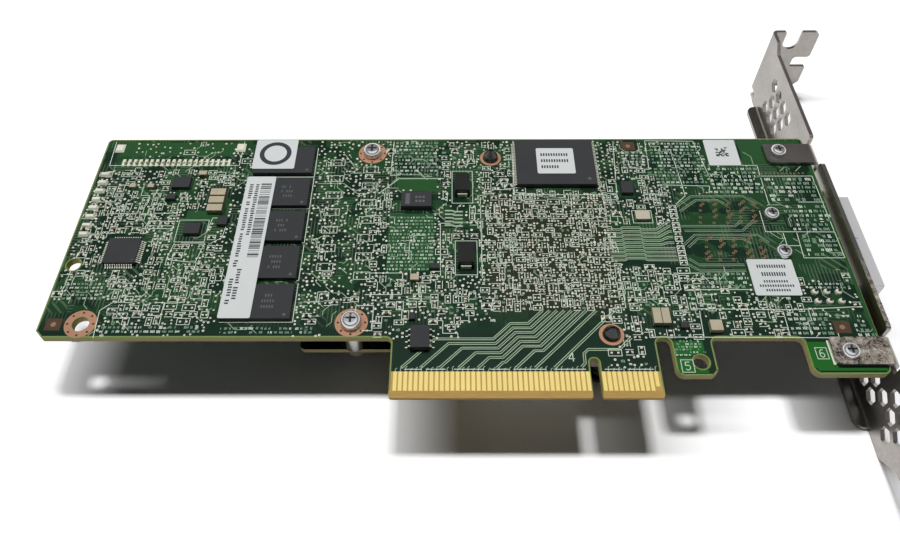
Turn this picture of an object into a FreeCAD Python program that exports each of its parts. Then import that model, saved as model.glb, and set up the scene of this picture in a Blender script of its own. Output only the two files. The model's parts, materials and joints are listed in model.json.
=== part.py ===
"""Storage controller card: a low-profile PCI Express board lying solder side up on a table.

Card axes, used throughout: X runs from the key slot of the edge connector towards the bracket,
Y from the contacts' free edge towards the board's far edge, and Z up from the solder face.
Every piece is moved at the end so that the origin is the middle of the footprint, on the table.
"""
import FreeCAD, Part
import math
import os

V = FreeCAD.Vector
AXIS = {"X": V(1, 0, 0), "Y": V(0, 1, 0), "Z": V(0, 0, 1)}

# ---------------------------------------------------------------- driving dimensions (mm)
# Board
board_left = 110.86            # key slot to the free end
board_right = 56.79            # key slot to the bracket end
board_height = 68.9            # contacts' edge to the far edge
board_t = 1.57
board_foot_y = 13.1            # lower edge of the board beside the edge connector
corner_r = 1.2
corner_hole_x = 8.5            # free end to the corner hole
corner_hole_y = 3.1            # board's lower edge to the corner hole
latch_hole_x = 2.6
latch_hole_gap = 8.2           # status header's last pin to the latch hole
latch_hole_r = 1.5
# Edge connector
contact_pitch = 1.0
contact_w = 0.7
contact_l = 4.1
contact_t = 0.05
contact_edge_gap = 1.31        # bare laminate between the contacts and the edge
short_contact_cut = 0.9        # how much shorter the sense contact is
front_contacts = 11            # contacts between the key slot and the bracket
rear_contacts = 38
key_w = 1.9
key_h = 8.34
tongue_margin = 1.1            # laminate outside the last contact
bevel_h = 1.3
bevel_t = 0.45
# Lower edge between the connector and the bracket
end_slot_w = 3.1
hook_w = 7.9
hook_y = 4.6
hook_hole_r = 1.55
hook_hole_x = 5.0              # hook's side and tip to its hole
hook_hole_y = 2.95
hook_chamfer = 1.0
foot_w = 14.8
foot_y = 4.9
notch_r = 1.5
# Bracket
sheet_t = 0.9
sheet_gap = 1.0                # board edge to the bracket's inner face
bracket_w = 18.4               # plate width, along Z
bracket_rise = 2.1             # plate edge above the solder face
bracket_top = 105.7            # contacts' edge to the outer face of the mounting tab
bracket_l = 120.02             # mounting tab's outer face to the tongue's tip
tab_reach = 11.7
tab_w = 18.0
tab_rise = 2.0                 # tab edge beyond the plate edge
bend_r = 0.5                   # inside radius of every bend
slot_w = 4.2                   # open slot for the case screw
slot_depth = 5.4
slot_x = 5.0                   # plate's outer face to the slot's axis
side_notch_w = 3.2
side_notch_depth = 4.4
side_notch_z = 9.6             # tab's upper edge to the side notch's axis
tab_corner_r = 1.3
tab_chamfer = 1.6
jog_start = 4.4                # mounting tab to the jog of the plate's upper edge
jog_l = 2.5
flange_w = 3.6                 # stiffening flange, plate's outer face to its edge
flange_top_gap = 7.2           # mounting tab to the flange's far end
flange_low_gap = 15.1          # tongue's tip to the flange's near end
shoulder_gap = 8.8             # tongue's tip to the plate's shoulders
shoulder_l = 4.2
tongue_w = 10.16
tongue_tip_w = 8.4
ear_w = 6.1                    # ears folded over the board
ear_l = 12.3
ear_low_r = 1.4                # corner radii of an ear's end
ear_high_r = 0.5
ear_low_y = 9.6                # contacts' edge to the middle of the lower ear
ear_high_gap = 5.8             # board's far edge to the middle of the upper ear
ear_relief = 1.1
vent_af = 3.25                 # hexagonal vents, across flats
vent_pitch = 4.3
vent_low_gap = 15.9            # tongue's tip to the middle of the lower vents
vent_high_gap = 17.2           # mounting tab to the middle of the upper vents
vent_drop = 0.4                # plate's middle to the middle column of vents
# Fasteners
screw_r = 1.25
ear_head_r = 1.75              # heads of the ear screws
ear_head_h = 1.3
post_head_r = 2.1              # heads of the standoff screws
post_head_h = 1.9
cross_w = 0.45                 # width of a cross recess's arms
hole_clear = 0.2
ear_screw_x = 9.2              # plate's outer face to the ear screws
ear_screw_dy = 0.4             # ear screws from the ears' middles, towards the board's edges
nut_r = 2.3
nut_h = 2.2
ring_w = 1.55
ring_t = 0.04
# External connector
cage_w = 25.4
cage_h = 9.6
cage_proud = 4.8               # how far the cage stands out of the plate
cage_depth = 31.0              # cage length behind the plate
cage_wall = 0.4
cage_share = 0.5704            # middle of the cage, as a share of the board's height
cage_screw_r = 0.9
cage_screw_head_r = 1.65
cage_screw_head_h = 1.5
cage_screw_x = 13.4            # board's bracket end to the cage screws
cage_screw_dy = 5.3            # cage screws from the middle of the cage
cage_drop = 0.25               # air between the board and the cage roof
nose_w = 8.4                   # moulded nose in each port
nose_h = 4.8
nose_slot_l = 5.0
nose_slot_t = 1.0
nose_wall = 0.9
port_contact_count = 8
port_contact_pitch = 0.75
port_contact_w = 0.3
port_contact_t = 0.2
port_contact_l = 4.5
gasket_t = 0.7
gasket_w = 1.6
# Processor and its cooler
package_w = 31.0
package_t = 1.5
lid_w = 24.0
lid_t = 1.0
pad_t = 0.3
sink_l = 37.0                  # along X, the way the air blows
sink_w = 55.0
sink_base_t = 3.2
fin_t = 0.9
fin_pitch = 3.3
sink_x = -7.2                  # middle of the cooler
sink_dy = -2.9                 # middle of the cooler from the board's middle height
package_dx = 4.2               # package from the middle of the cooler
package_dy = -2.0
pin_inset_x = 7.2              # push pins from the cooler's edges
pin_inset_y = 3.1
pin_r = 1.5
pin_head_r = 3.0
pin_head_t = 1.0
pin_barb_r = 1.85
pin_tip_h = 2.6
pin_slit = 0.25
pocket_clear = 0.8
spring_r = 2.2
spring_wire = 0.45
spring_turns = 3.5
# Cache daughterboard
daughter_l = 31.0
daughter_margin = 4.6          # how much shorter it is than the main board, along Y
daughter_t = 1.2
daughter_gap = 6.0             # component face to the daughterboard
daughter_right = 2.6           # air between the daughterboard and the cooler
daughter_dy = -0.7             # daughterboard's middle from the board's middle height
standoff_r = 2.4
standoff_inset_x = 12.1        # daughterboard's left edge to the middle of the standoffs
standoff_inset_y = 1.8
standoff_skew = 0.65           # each standoff's offset along X from that middle
mezzanine_l = 36.0
mezzanine_w = 5.0
mezzanine_wall = 0.9
flash_w = 12.0
flash_l = 14.0
flash_t = 1.0
# Voltage converters on the component face
inductor_w = 6.8
inductor_h = 3.2
can_w = 6.6
can_h = 5.8
# Headers on the component face
pin_w = 0.4
pin_hole_r = 0.36
pin_tail = 0.55
header_wall = 0.8
header_floor = 1.6
backup_pin_count = 20          # one row along X
backup_pitch = 1.27
backup_h = 6.0
backup_x = 18.0                # free end to the backup header's middle
backup_y = 7.9                 # far edge to the backup header's middle
status_pin_count = 8           # one column along Y
status_pitch = 2.54
status_h = 5.5
status_x = 2.3
status_y = 20.7
service_column_count = 3
service_row_count = 2
service_pitch = 2.54
service_h = 6.0
service_x = 7.2                # bracket end to the service header's middle
service_gap = 0.66             # air between the service header and the cage
# Solder-side chips
memory_l = 13.9
memory_gap = 1.4
memory_t = 1.0
memory_count = 5
memory_x = 43.75               # free end to the middle of the memory column
memory_top_gap = 3.5           # board's far edge to the first chip
memory_low_gap = 3.7           # board's lower edge to the last chip
tsop_dx = 3.74                 # middle of the cooler to the firmware flash, along X
tsop_top_gap = 8.65            # board's far edge to the flash's middle
tsop_l = 18.4
tsop_w = 14.2
tsop_t = 1.0
tsop_lead_count = 28           # leads a side
micro_l = 6.9
micro_w = 6.7
micro_t = 0.9
micro_x = 12.4                 # free end to the microcontroller's middle
micro_lead_count = 12
chip_lead_pitch = 0.5
regulator_l = 3.8
regulator_w = 5.0
regulator_t = 1.3
regulator_lead_count = 4
regulator_lead_pitch = 1.27
tantalum_l = 3.5               # along X
tantalum_w = 5.4
tantalum_h = 2.0
tantalum_end = 0.35            # terminal, outside the body
tantalum_x = (18.05, 17.4)     # cooler's middle to the capacitors, upper and lower
tantalum_y = (15.0, -5.3)
sense_l = 7.0                  # wide two-terminal part above the processor
sense_w = 4.6
sense_h = 1.2
lead_t = 0.12
lead_w = 0.22
lead_stand = 0.1
# Labels
label_t = 0.1
strip_label_l = 6.6            # along X
strip_label_x = 2.6            # memory column's left side to the label's middle
strip_label_low_gap = 3.8      # board's lower edge to the label
strip_label_top_gap = 13.3     # board's far edge to the label
memory_label_l = 9.9
memory_label_w = 9.5
memory_label_x = 4.65
memory_label_y = 6.05          # far edge to the label's middle
firmware_label_l = 8.8
firmware_label_w = 8.2
square_label_l = 9.6
square_label_w = 9.3
square_label_x = 17.0          # board's bracket end to the label's middle
square_label_y = 11.65         # cage's middle to the label's middle
code_label_l = 7.5
code_label_w = 8.5
code_label_x = 20.15
code_label_y = 4.75

# ---------------------------------------------------------------- derived positions
comp_z = -board_t                                   # component face
tongue_right = (front_contacts + 0.5) * contact_pitch + tongue_margin
tongue_left = -((rear_contacts + 0.5) * contact_pitch + tongue_margin)
hook_left = tongue_right + end_slot_w
hook_right = hook_left + hook_w
foot_left = board_right - foot_w
plate_in = board_right + sheet_gap                  # bracket plate, inner and outer faces
plate_out = plate_in + sheet_t
plate_high = bracket_rise
plate_low = bracket_rise - bracket_w
tab_high = bracket_rise + tab_rise
tab_low = tab_high - tab_w
tab_under = bracket_top - sheet_t
tongue_tip = bracket_top - bracket_l
shoulder_y = tongue_tip + shoulder_gap
flange_low_y = tongue_tip + flange_low_gap
flange_high_y = tab_under - flange_top_gap
ear_high_y = board_height - ear_high_gap
plate_mid_z = (plate_high + plate_low) / 2
ear_screws = [(plate_out - ear_screw_x, ear_low_y - ear_screw_dy),
              (plate_out - ear_screw_x, ear_high_y + ear_screw_dy)]
board_mid_y = (board_foot_y + board_height) / 2
cage_y = cage_share * board_height
cage_roof = comp_z - cage_drop
cage_floor = cage_roof - cage_h
package_z = comp_z - package_t
lid_z = package_z - lid_t
sink_z = lid_z - pad_t                              # cooler's mating face
base_z = sink_z - sink_base_t
sink_y = board_mid_y + sink_dy
pin_dx = sink_l / 2 - pin_inset_x
pin_dy = sink_w / 2 - pin_inset_y
pin_spots = [(sink_x - pin_dx, sink_y + pin_dy), (sink_x + pin_dx, sink_y - pin_dy)]
daughter_z = comp_z - daughter_gap
daughter_x1 = sink_x - sink_l / 2 - daughter_right
daughter_x0 = daughter_x1 - daughter_l
daughter_y = board_mid_y + daughter_dy
daughter_w = board_height - board_foot_y - daughter_margin
daughter_low = daughter_z - daughter_t
standoff_x = daughter_x0 + standoff_inset_x
standoff_spots = [(standoff_x + side * standoff_skew,
                   daughter_y + side * (daughter_w / 2 - standoff_inset_y)) for side in (-1, 1)]
memory_left = -board_left + memory_x - memory_l / 2
memory_top = board_height - memory_top_gap
memory_pitch = (memory_top - board_foot_y - memory_low_gap + memory_gap) / memory_count
memory_w = memory_pitch - memory_gap
strip_label_low = board_foot_y + strip_label_low_gap
strip_label_high = board_height - strip_label_top_gap
corner_hole = (corner_hole_x - board_left, board_foot_y + corner_hole_y)
corner_hole_r = screw_r + 0.45
status_low = board_height - status_y - (status_pin_count - 1) * status_pitch / 2
latch_hole = (latch_hole_x - board_left, status_low - latch_hole_gap)
hook_hole = (hook_left + hook_hole_x, hook_y + hook_hole_y)
cage_screws = [(board_right - cage_screw_x, cage_y + side * cage_screw_dy) for side in (-1, 1)]
# Headers: middle x, middle y, pins along X, pins along Y, pitch, height
backup_header = (backup_x - board_left, board_height - backup_y, backup_pin_count, 1, backup_pitch,
                 backup_h)
status_header = (status_x - board_left, board_height - status_y, 1, status_pin_count, status_pitch,
                 status_h)
service_y = cage_y - cage_w / 2 - service_gap - header_wall - service_row_count * service_pitch / 2
service_header = (board_right - service_x, service_y, service_column_count, service_row_count,
                  service_pitch, service_h)
origin = V((tab_reach + plate_out - board_left) / 2, (bracket_top + tongue_tip) / 2, plate_low)


# ---------------------------------------------------------------- building blocks
def box(x0, x1, y0, y1, z0, z1):
    """Box between two opposite corners."""
    return Part.makeBox(x1 - x0, y1 - y0, z1 - z0, V(x0, y0, z0))


def block(x, y, length, width, z0, z1):
    """Box centred on x, y."""
    return box(x - length / 2, x + length / 2, y - width / 2, y + width / 2, z0, z1)


def rod(x, y, r, z0, z1):
    """Upright cylinder."""
    return Part.makeCylinder(r, z1 - z0, V(x, y, z0), AXIS["Z"])


def tube(x, y, r_out, r_in, z0, z1):
    """Upright tube."""
    return rod(x, y, r_out, z0, z1).cut(rod(x, y, r_in, z0, z1))


def outline(corners, plane, at):
    """Face from corners (u, v, radius), each corner rounded by its own radius."""
    lift = {"XY": lambda u, v: V(u, v, at), "YZ": lambda u, v: V(at, u, v),
            "XZ": lambda u, v: V(u, at, v)}[plane]
    points = [V(c[0], c[1], 0) for c in corners]
    radii = [c[2] if len(c) > 2 else 0 for c in corners]
    count = len(corners)
    edges = []
    last = None
    first = None
    for i in range(count):
        here = points[i]
        to_prev = (points[i - 1] - here).normalize()
        to_next = (points[(i + 1) % count] - here).normalize()
        if radii[i] > 0:
            half = to_prev.getAngle(to_next) / 2
            reach = radii[i] / math.tan(half)
            middle = (to_prev + to_next).normalize()
            start = here + to_prev * reach
            end = here + to_next * reach
            crown = here + middle * (radii[i] / math.sin(half) - radii[i])
        else:
            start = end = here
        if last is not None and last.distanceToPoint(start) > 1e-6:
            edges.append(Part.LineSegment(lift(last.x, last.y), lift(start.x, start.y)).toShape())
        if radii[i] > 0:
            edges.append(Part.Arc(lift(start.x, start.y), lift(crown.x, crown.y),
                                  lift(end.x, end.y)).toShape())
        if first is None:
            first = start
        last = end
    if last.distanceToPoint(first) > 1e-6:
        edges.append(Part.LineSegment(lift(last.x, last.y), lift(first.x, first.y)).toShape())
    return Part.Face(Part.Wire(edges))


def slab(corners, plane, lo, hi):
    """Outline drawn in a plane and pushed from lo to hi along the plane's normal."""
    normal = {"XY": "Z", "YZ": "X", "XZ": "Y"}[plane]
    return outline(corners, plane, lo).extrude(AXIS[normal] * (hi - lo))


def frame_corners(u0, u1, v0, v1, r=0.0):
    """Corners of a rectangle with equal corner radii."""
    return [(u0, v0, r), (u1, v0, r), (u1, v1, r), (u0, v1, r)]


def fuse(solids):
    """One solid from touching or overlapping ones."""
    return solids[0].multiFuse(solids[1:]).removeSplitter()


def cut(solid, tools):
    """Solid less every tool."""
    return solid.cut(Part.makeCompound(tools)) if tools else solid


def screw_head(x, y, r, h):
    """Domed head with a cross recess, standing on z = 0."""
    head = Part.makeCylinder(r, h, V(x, y, 0), AXIS["Z"])
    head = head.makeFillet(0.45 * r, [head.Edges[0]])
    arm = 1.05 * r
    return cut(head, [block(x, y, length, width, 0.55 * h, h + 1)
                      for length, width in ((arm, cross_w), (cross_w, arm))])


def pan_screw(x, y, seat, end, head_r, head_h, shank_r):
    """Pan-head screw; its head stands on seat, facing away from end."""
    head = screw_head(x, y, head_r, head_h)
    if end > seat:
        head = head.mirror(V(x, y, 0), AXIS["Z"])
    head.translate(V(0, 0, seat))
    return head.fuse(rod(x, y, shank_r, min(seat, end), max(seat, end))).removeSplitter()


def gull_lead(reach, drop, foot):
    """Gull-wing lead in the XZ plane, leaving a chip side at x = 0 and z = drop above its foot."""
    knee = 0.35 * reach
    path = [(0, drop), (knee, drop), (reach - foot, lead_t), (reach, lead_t), (reach, 0),
            (reach - foot - lead_t, 0), (knee - lead_t, drop - lead_t), (0, drop - lead_t)]
    return slab(path, "XZ", -lead_w / 2, lead_w / 2)


def lead_row(x, y, heading, count, pitch, lead):
    """Copies of a lead along a chip side; heading is the way the leads point, in degrees."""
    row = []
    for i in range(count):
        copy = lead.copy()
        copy.translate(V(0, (i - (count - 1) / 2) * pitch, 0))
        copy.rotate(V(0, 0, 0), AXIS["Z"], heading)
        copy.translate(V(x, y, 0))
        row.append(copy)
    return row


def board_spot(share_x, share_y):
    """Place on the board, as shares of its length and of its height."""
    return (-board_left + share_x * (board_left + board_right), share_y * board_height)


# ---------------------------------------------------------------- main board
def screw_holes():
    """Holes for everything that passes through the board: (x, y, radius)."""
    holes = [corner_hole + (corner_hole_r,), latch_hole + (latch_hole_r,), hook_hole + (hook_hole_r,)]
    holes += [(x, y, screw_r + hole_clear) for x, y in ear_screws + standoff_spots]
    holes += [(x, y, pin_r + hole_clear) for x, y in pin_spots]
    holes += [(x, y, cage_screw_r + hole_clear) for x, y in cage_screws]
    for header in (backup_header, status_header, service_header):
        holes += [spot + (pin_hole_r,) for spot in header_grid(header)]
    return holes


def main_board():
    """Board outline with its edge connector, key slot, hook and foot."""
    half_key = key_w / 2
    corners = [
        (-board_left, board_height, corner_r), (board_right, board_height, corner_r),
        (board_right, foot_y, notch_r), (foot_left, foot_y, notch_r),
        (foot_left, board_foot_y, notch_r), (hook_right, board_foot_y, notch_r),
        (hook_right, hook_y + hook_chamfer), (hook_right - hook_chamfer, hook_y),
        (hook_left, hook_y, notch_r),
        (hook_left, board_foot_y, 0.49 * end_slot_w), (tongue_right, board_foot_y, 0.49 * end_slot_w),
        (tongue_right, 0, corner_r / 2), (half_key, 0, 0.3), (half_key, key_h, 0.49 * key_w),
        (-half_key, key_h, 0.49 * key_w), (-half_key, 0, 0.3), (tongue_left, 0, corner_r / 2),
        (tongue_left, board_foot_y, corner_r), (1.5 - board_left, board_foot_y),
        (-board_left, board_foot_y + 1.5)]
    board = slab(corners, "XY", comp_z, 0)
    for z, inward in ((0, -1), (comp_z, 1)):
        wedge = [(0, z), (0, z + inward * bevel_t), (bevel_h, z)]
        board = board.cut(slab(wedge, "YZ", tongue_left, tongue_right))
    return cut(board, [rod(x, y, r, comp_z - 1, 1) for x, y, r in screw_holes()])


def contact_row(z0, z1, short_first):
    """Gold contacts of one side, in two groups split by the key slot."""
    row = []
    places = [(front_contacts + 0.5 - i) * contact_pitch for i in range(front_contacts)]
    places += [-(1.5 + i) * contact_pitch for i in range(rear_contacts)]
    for i, x in enumerate(places):
        low = contact_edge_gap + (short_contact_cut if short_first and i == 0 else 0)
        row.append(box(x - contact_w / 2, x + contact_w / 2, low, contact_edge_gap + contact_l, z0, z1))
    return Part.makeCompound(row)


def ground_rings():
    """Bare copper rings round the screw and push-pin holes of the solder face."""
    rings = [tube(corner_hole[0], corner_hole[1], corner_hole_r + ring_w, corner_hole_r, 0, ring_t)]
    for x, y in standoff_spots:
        rings.append(tube(x, y, post_head_r + 1.25, screw_r + hole_clear, 0, ring_t))
    for x, y in pin_spots:
        rings.append(tube(x, y, pin_r + 1.0, pin_r + hole_clear, 0, ring_t))
    return Part.makeCompound(rings)


# ---------------------------------------------------------------- bracket
def vents(y_mid, rows):
    """Hexagonal prisms through the plate.

    Three columns, numbered from 0 at the lower edge, share a honeycomb. A row drops by half a pitch
    from column to column; it's given as its height in pitches at column 0, and its columns.
    """
    prisms = []
    column_pitch = vent_pitch * math.sqrt(3) / 2
    across = vent_af / math.sqrt(3)
    for level, columns in rows:
        for column in columns:
            y = y_mid + (level - column / 2) * vent_pitch
            z = plate_mid_z - vent_drop + (column - 1) * column_pitch
            ring = [(y + across * math.sin(math.radians(60 * k)),
                     z + across * math.cos(math.radians(60 * k))) for k in range(6)]
            prisms.append(slab(ring, "YZ", plate_in - 1, plate_out + 1))
    return prisms


def bracket_ear(y_mid, screw_y):
    """Ear bent from the plate's upper edge to lie on the solder face, with its screw hole."""
    low = plate_high - 4 * sheet_t
    tip = plate_out - ear_l
    section = [(plate_out, low), (plate_out, sheet_t, bend_r + sheet_t), (tip, sheet_t), (tip, 0),
               (plate_in, 0, bend_r), (plate_in, low)]
    ear = slab(section, "XZ", y_mid - ear_w / 2, y_mid + ear_w / 2)
    plan = [(tip, y_mid - ear_w / 2, ear_low_r), (plate_out + 1, y_mid - ear_w / 2),
            (plate_out + 1, y_mid + ear_w / 2), (tip, y_mid + ear_w / 2, ear_high_r)]
    ear = ear.common(slab(plan, "XY", low - 1, sheet_t + 1))
    return ear.cut(rod(plate_out - ear_screw_x, screw_y, screw_r + hole_clear, -1, sheet_t + 1))


def mounting_tab():
    """Tab folded outwards at the far end, with the open screw slot and the side notch."""
    end = plate_out + tab_reach
    low_y = tab_under - 4 * sheet_t
    section = [(plate_out, low_y), (plate_out, tab_under, bend_r), (end, tab_under),
               (end, bracket_top), (plate_in, bracket_top, bend_r + sheet_t), (plate_in, low_y)]
    slot_left = plate_out + slot_x - slot_w / 2
    slot_right = slot_left + slot_w
    slot_foot = tab_high - slot_depth
    notch_x = end - side_notch_depth
    notch_low = tab_high - side_notch_z - side_notch_w / 2
    notch_high = notch_low + side_notch_w
    plan = [(plate_in - 1, tab_low), (end - tab_chamfer, tab_low, 0.5), (end, tab_low + tab_chamfer, 0.5),
            (end, notch_low, 0.4), (notch_x, notch_low, 0.4), (notch_x, notch_high, 1.0),
            (end, notch_high, 0.9), (end, tab_high, tab_corner_r), (slot_right, tab_high, 0.4),
            (slot_right, slot_foot, 0.49 * slot_w), (slot_left, slot_foot, 0.49 * slot_w),
            (slot_left, tab_high, 0.4), (plate_in - 1, tab_high)]
    return slab(section, "XY", tab_low, tab_high).common(slab(plan, "XZ", low_y - 1, bracket_top + 1))


def stiffening_flange():
    """Flange bent inwards along the plate's lower edge, with rounded ends."""
    high = plate_low + 4 * sheet_t
    section = [(plate_out, high), (plate_out, plate_low, bend_r + sheet_t),
               (plate_out - flange_w, plate_low), (plate_out - flange_w, plate_low + sheet_t),
               (plate_in, plate_low + sheet_t, bend_r), (plate_in, high)]
    flange = slab(section, "XZ", flange_low_y, flange_high_y)
    round_r = 0.6 * flange_w
    plan = [(plate_out - flange_w, flange_low_y, round_r), (plate_out + 1, flange_low_y),
            (plate_out + 1, flange_high_y), (plate_out - flange_w, flange_high_y, round_r)]
    return flange.common(slab(plan, "XY", plate_low - 1, high + 1))


def plate_outline():
    """Plate corners in the YZ plane, from the fold down to the tongue and back."""
    far = tab_under - 3 * sheet_t
    lift = plate_low + bend_r + sheet_t
    relief_z = -1.6 * sheet_t
    neck_y = shoulder_y - shoulder_l
    neck_r = 0.5 * shoulder_l
    reliefs = []
    for ear_y in (ear_high_y, ear_low_y):
        for side in (1, -1):
            edge = ear_y + side * ear_w / 2
            lip = (edge + side * ear_relief, plate_high, 0.8)
            foot = (edge + side * ear_relief, relief_z, 0.3)
            root = (edge, relief_z)
            reliefs += [lip, foot, root] if side > 0 else [root, foot, lip]
    return [(far, tab_high), (tab_under - jog_start, tab_high, 0.5),
            (tab_under - jog_start - jog_l, plate_high, 0.5)] + reliefs + [
                (shoulder_y, plate_high, 0.6), (neck_y, plate_mid_z + tongue_w / 2, neck_r),
                (tongue_tip, plate_mid_z + tongue_tip_w / 2, 1.5),
                (tongue_tip, plate_mid_z - tongue_tip_w / 2, 1.5),
                (neck_y, plate_mid_z - tongue_w / 2, neck_r), (shoulder_y, plate_low, 0.6),
                (flange_low_y, plate_low), (flange_low_y, lift), (flange_high_y, lift),
                (flange_high_y, plate_low, 0.2), (far - 0.6, plate_low, 0.4), (far - 0.6, tab_low, 0.4),
                (far, tab_low)]


def io_bracket():
    """Full-height bracket: one sheet with mounting tab, flange, ears, port window and vents."""
    plate = slab(plate_outline(), "YZ", plate_in, plate_out)
    half = cage_w / 2 + hole_clear
    window = slab(frame_corners(cage_y - half, cage_y + half, cage_floor - hole_clear,
                                cage_roof + hole_clear, 0.5), "YZ", plate_in - 1, plate_out + 1)
    low_rows = ((2, (0, 1)), (1, (0, 1, 2)), (0, (1, 2)), (-1, (0, 1, 2)))
    high_rows = ((2, (2,)), (1, (0, 1, 2)), (0, (0, 1, 2)), (-1, (0, 1, 2)))
    fields = vents(tongue_tip + vent_low_gap, low_rows) + vents(bracket_top - vent_high_gap, high_rows)
    ears = [bracket_ear(y, screw[1]) for y, screw in zip((ear_low_y, ear_high_y), ear_screws)]
    return cut(fuse([plate, mounting_tab(), stiffening_flange()] + ears), [window] + fields)


def bracket_screws():
    """Screws through the ears and the board into the nuts."""
    return Part.makeCompound([pan_screw(x, y, sheet_t, comp_z - nut_h, ear_head_r, ear_head_h, screw_r)
                              for x, y in ear_screws])


def bracket_nuts():
    """Round nuts set on the component face under the ears."""
    return Part.makeCompound([tube(x, y, nut_r, screw_r, comp_z - nut_h, comp_z)
                              for x, y in ear_screws])


# ---------------------------------------------------------------- external connector
def port_spots():
    """Middle of each port, along Y, and the clear width of a port."""
    clear = (cage_w - 3 * cage_wall) / 2
    return [cage_y - (clear + cage_wall) / 2, cage_y + (clear + cage_wall) / 2], clear


def port_cage():
    """Folded shell round both ports, open at the mouth and pierced for the latches."""
    back = plate_in - cage_depth
    mouth = plate_out + cage_proud
    spots, clear = port_spots()
    half = cage_w / 2
    shell = slab(frame_corners(cage_y - half, cage_y + half, cage_floor, cage_roof, 0.5), "YZ",
                 back, mouth)
    tools = []
    for y in spots:
        tools.append(box(back - 1, mouth + 1, y - clear / 2, y + clear / 2,
                         cage_floor + cage_wall, cage_roof - cage_wall))
        tools.append(box(mouth - 3.2, mouth - 2.2, y - 2.6, y + 2.6, cage_floor - 1,
                         cage_floor + cage_wall + 0.1))
    seam = box(mouth - 3.0, mouth - 1.6, cage_y - cage_wall, cage_y + cage_wall,
               cage_roof - 0.6 * cage_wall, cage_roof + 1)
    shell = cut(shell, tools + [seam])
    bosses = [tube(x, y, cage_screw_head_r, cage_screw_r, cage_roof - cage_wall, comp_z)
              for x, y in cage_screws]
    return fuse([shell.cut(Part.makeCompound([rod(x, y, cage_screw_r, cage_floor, 0)
                                              for x, y in cage_screws]))] + bosses)


def port_housings():
    """Moulded housings at the back of the ports, each with a nose round its card slot."""
    spots, clear = port_spots()
    back = plate_in - cage_depth
    mid_z = (cage_roof + cage_floor) / 2
    nose_end = back + 0.62 * cage_depth
    solids = []
    for y in spots:
        body = block(back + 0.2 * cage_depth, y, 0.38 * cage_depth, clear, cage_floor + cage_wall,
                     cage_roof - cage_wall)
        nose = slab(frame_corners(y - nose_w / 2, y + nose_w / 2, mid_z - nose_h / 2,
                                  mid_z + nose_h / 2, 0.5), "YZ", back + 0.3 * cage_depth, nose_end)
        slot = box(nose_end - nose_slot_l, nose_end + 1, y - nose_w / 2 + nose_wall,
                   y + nose_w / 2 - nose_wall, mid_z - nose_slot_t / 2, mid_z + nose_slot_t / 2)
        solids.append(fuse([body, nose]).cut(slot))
    return Part.makeCompound(solids)


def port_contacts():
    """Spring contacts above and below each card slot, seen at the nose."""
    spots, clear = port_spots()
    start = plate_in - 0.38 * cage_depth - 0.98 * nose_slot_l
    mid_z = (cage_roof + cage_floor) / 2
    offsets = [(i - (port_contact_count - 1) / 2) * port_contact_pitch for i in range(port_contact_count)]
    solids = []
    for y in [spot + offset for spot in spots for offset in offsets]:
        for side in (-1, 1):
            z = mid_z + side * (nose_slot_t - port_contact_t) / 2
            solids.append(block(start + port_contact_l / 2, y, port_contact_l, port_contact_w,
                                z - port_contact_t / 2, z + port_contact_t / 2))
    return Part.makeCompound(solids)


def cage_gasket():
    """Conductive foam frame between the cage and the bracket's inner face."""
    half = cage_w / 2
    outer = frame_corners(cage_y - half - gasket_w, cage_y + half + gasket_w,
                          cage_floor - gasket_w, cage_roof, 0.3)
    inner = frame_corners(cage_y - half, cage_y + half, cage_floor, cage_roof + 1)
    ring = slab(outer, "YZ", plate_in - gasket_t, plate_in)
    return ring.cut(slab(inner, "YZ", plate_in - gasket_t - 1, plate_in + 1))


def cage_fasteners():
    """Screws that hold the cage's bosses from the solder face."""
    return Part.makeCompound([pan_screw(x, y, 0, cage_roof, cage_screw_head_r, cage_screw_head_h,
                                        cage_screw_r) for x, y in cage_screws])


# ---------------------------------------------------------------- processor and cooler
def package_block(width, z0, z1, r):
    """Square block centred on the processor."""
    x, y = sink_x + package_dx, sink_y + package_dy
    half = width / 2
    return slab(frame_corners(x - half, x + half, y - half, y + half, r), "XY", z0, z1)


def heat_sink():
    """Finned cooler with a square pocket in the fins for each push pin."""
    x0, x1 = sink_x - sink_l / 2, sink_x + sink_l / 2
    y0, y1 = sink_y - sink_w / 2, sink_y + sink_w / 2
    base = slab(frame_corners(x0, x1, y0, y1, 1.0), "XY", base_z, sink_z)
    count = int((sink_w - fin_t) // fin_pitch) + 1
    spread = (sink_w - fin_t) / (count - 1)
    fins = [box(x0, x1, y0 + i * spread, y0 + i * spread + fin_t, plate_low, base_z + 0.1)
            for i in range(count)]
    pocket_w = 2 * (pin_head_r + pocket_clear)
    pockets = [block(x, y, pocket_w, pocket_w, plate_low - 1, base_z) for x, y in pin_spots]
    bores = [rod(x, y, pin_r + hole_clear, plate_low - 1, 0) for x, y in pin_spots]
    return cut(fuse([base] + fins), pockets + bores)


def push_pins():
    """Split plastic pins: head, shank through base and board, barbed tip on the solder face."""
    head_z = base_z - spring_length()
    pins = []
    for x, y in pin_spots:
        half = [(0, head_z - pin_head_t), (pin_head_r, head_z - pin_head_t), (pin_head_r, head_z),
                (0.8 * pin_r, head_z), (0.8 * pin_r, 0.1), (pin_barb_r, 0.1),
                (0.85 * pin_barb_r, 0.4 * pin_tip_h), (0.25 * pin_barb_r, pin_tip_h), (0, pin_tip_h)]
        face = outline(half, "XZ", 0)
        pin = face.revolve(V(0, 0, 0), AXIS["Z"], 360)
        pin = pin.cut(block(0, 0, 4 * pin_r, pin_slit, comp_z - 2, pin_tip_h + 1))
        pin.translate(V(x, y, 0))
        pins.append(pin)
    return Part.makeCompound(pins)


def spring_length():
    """Compressed length of a push-pin spring."""
    return (base_z - plate_low) - pin_head_t - 1.5


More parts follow.
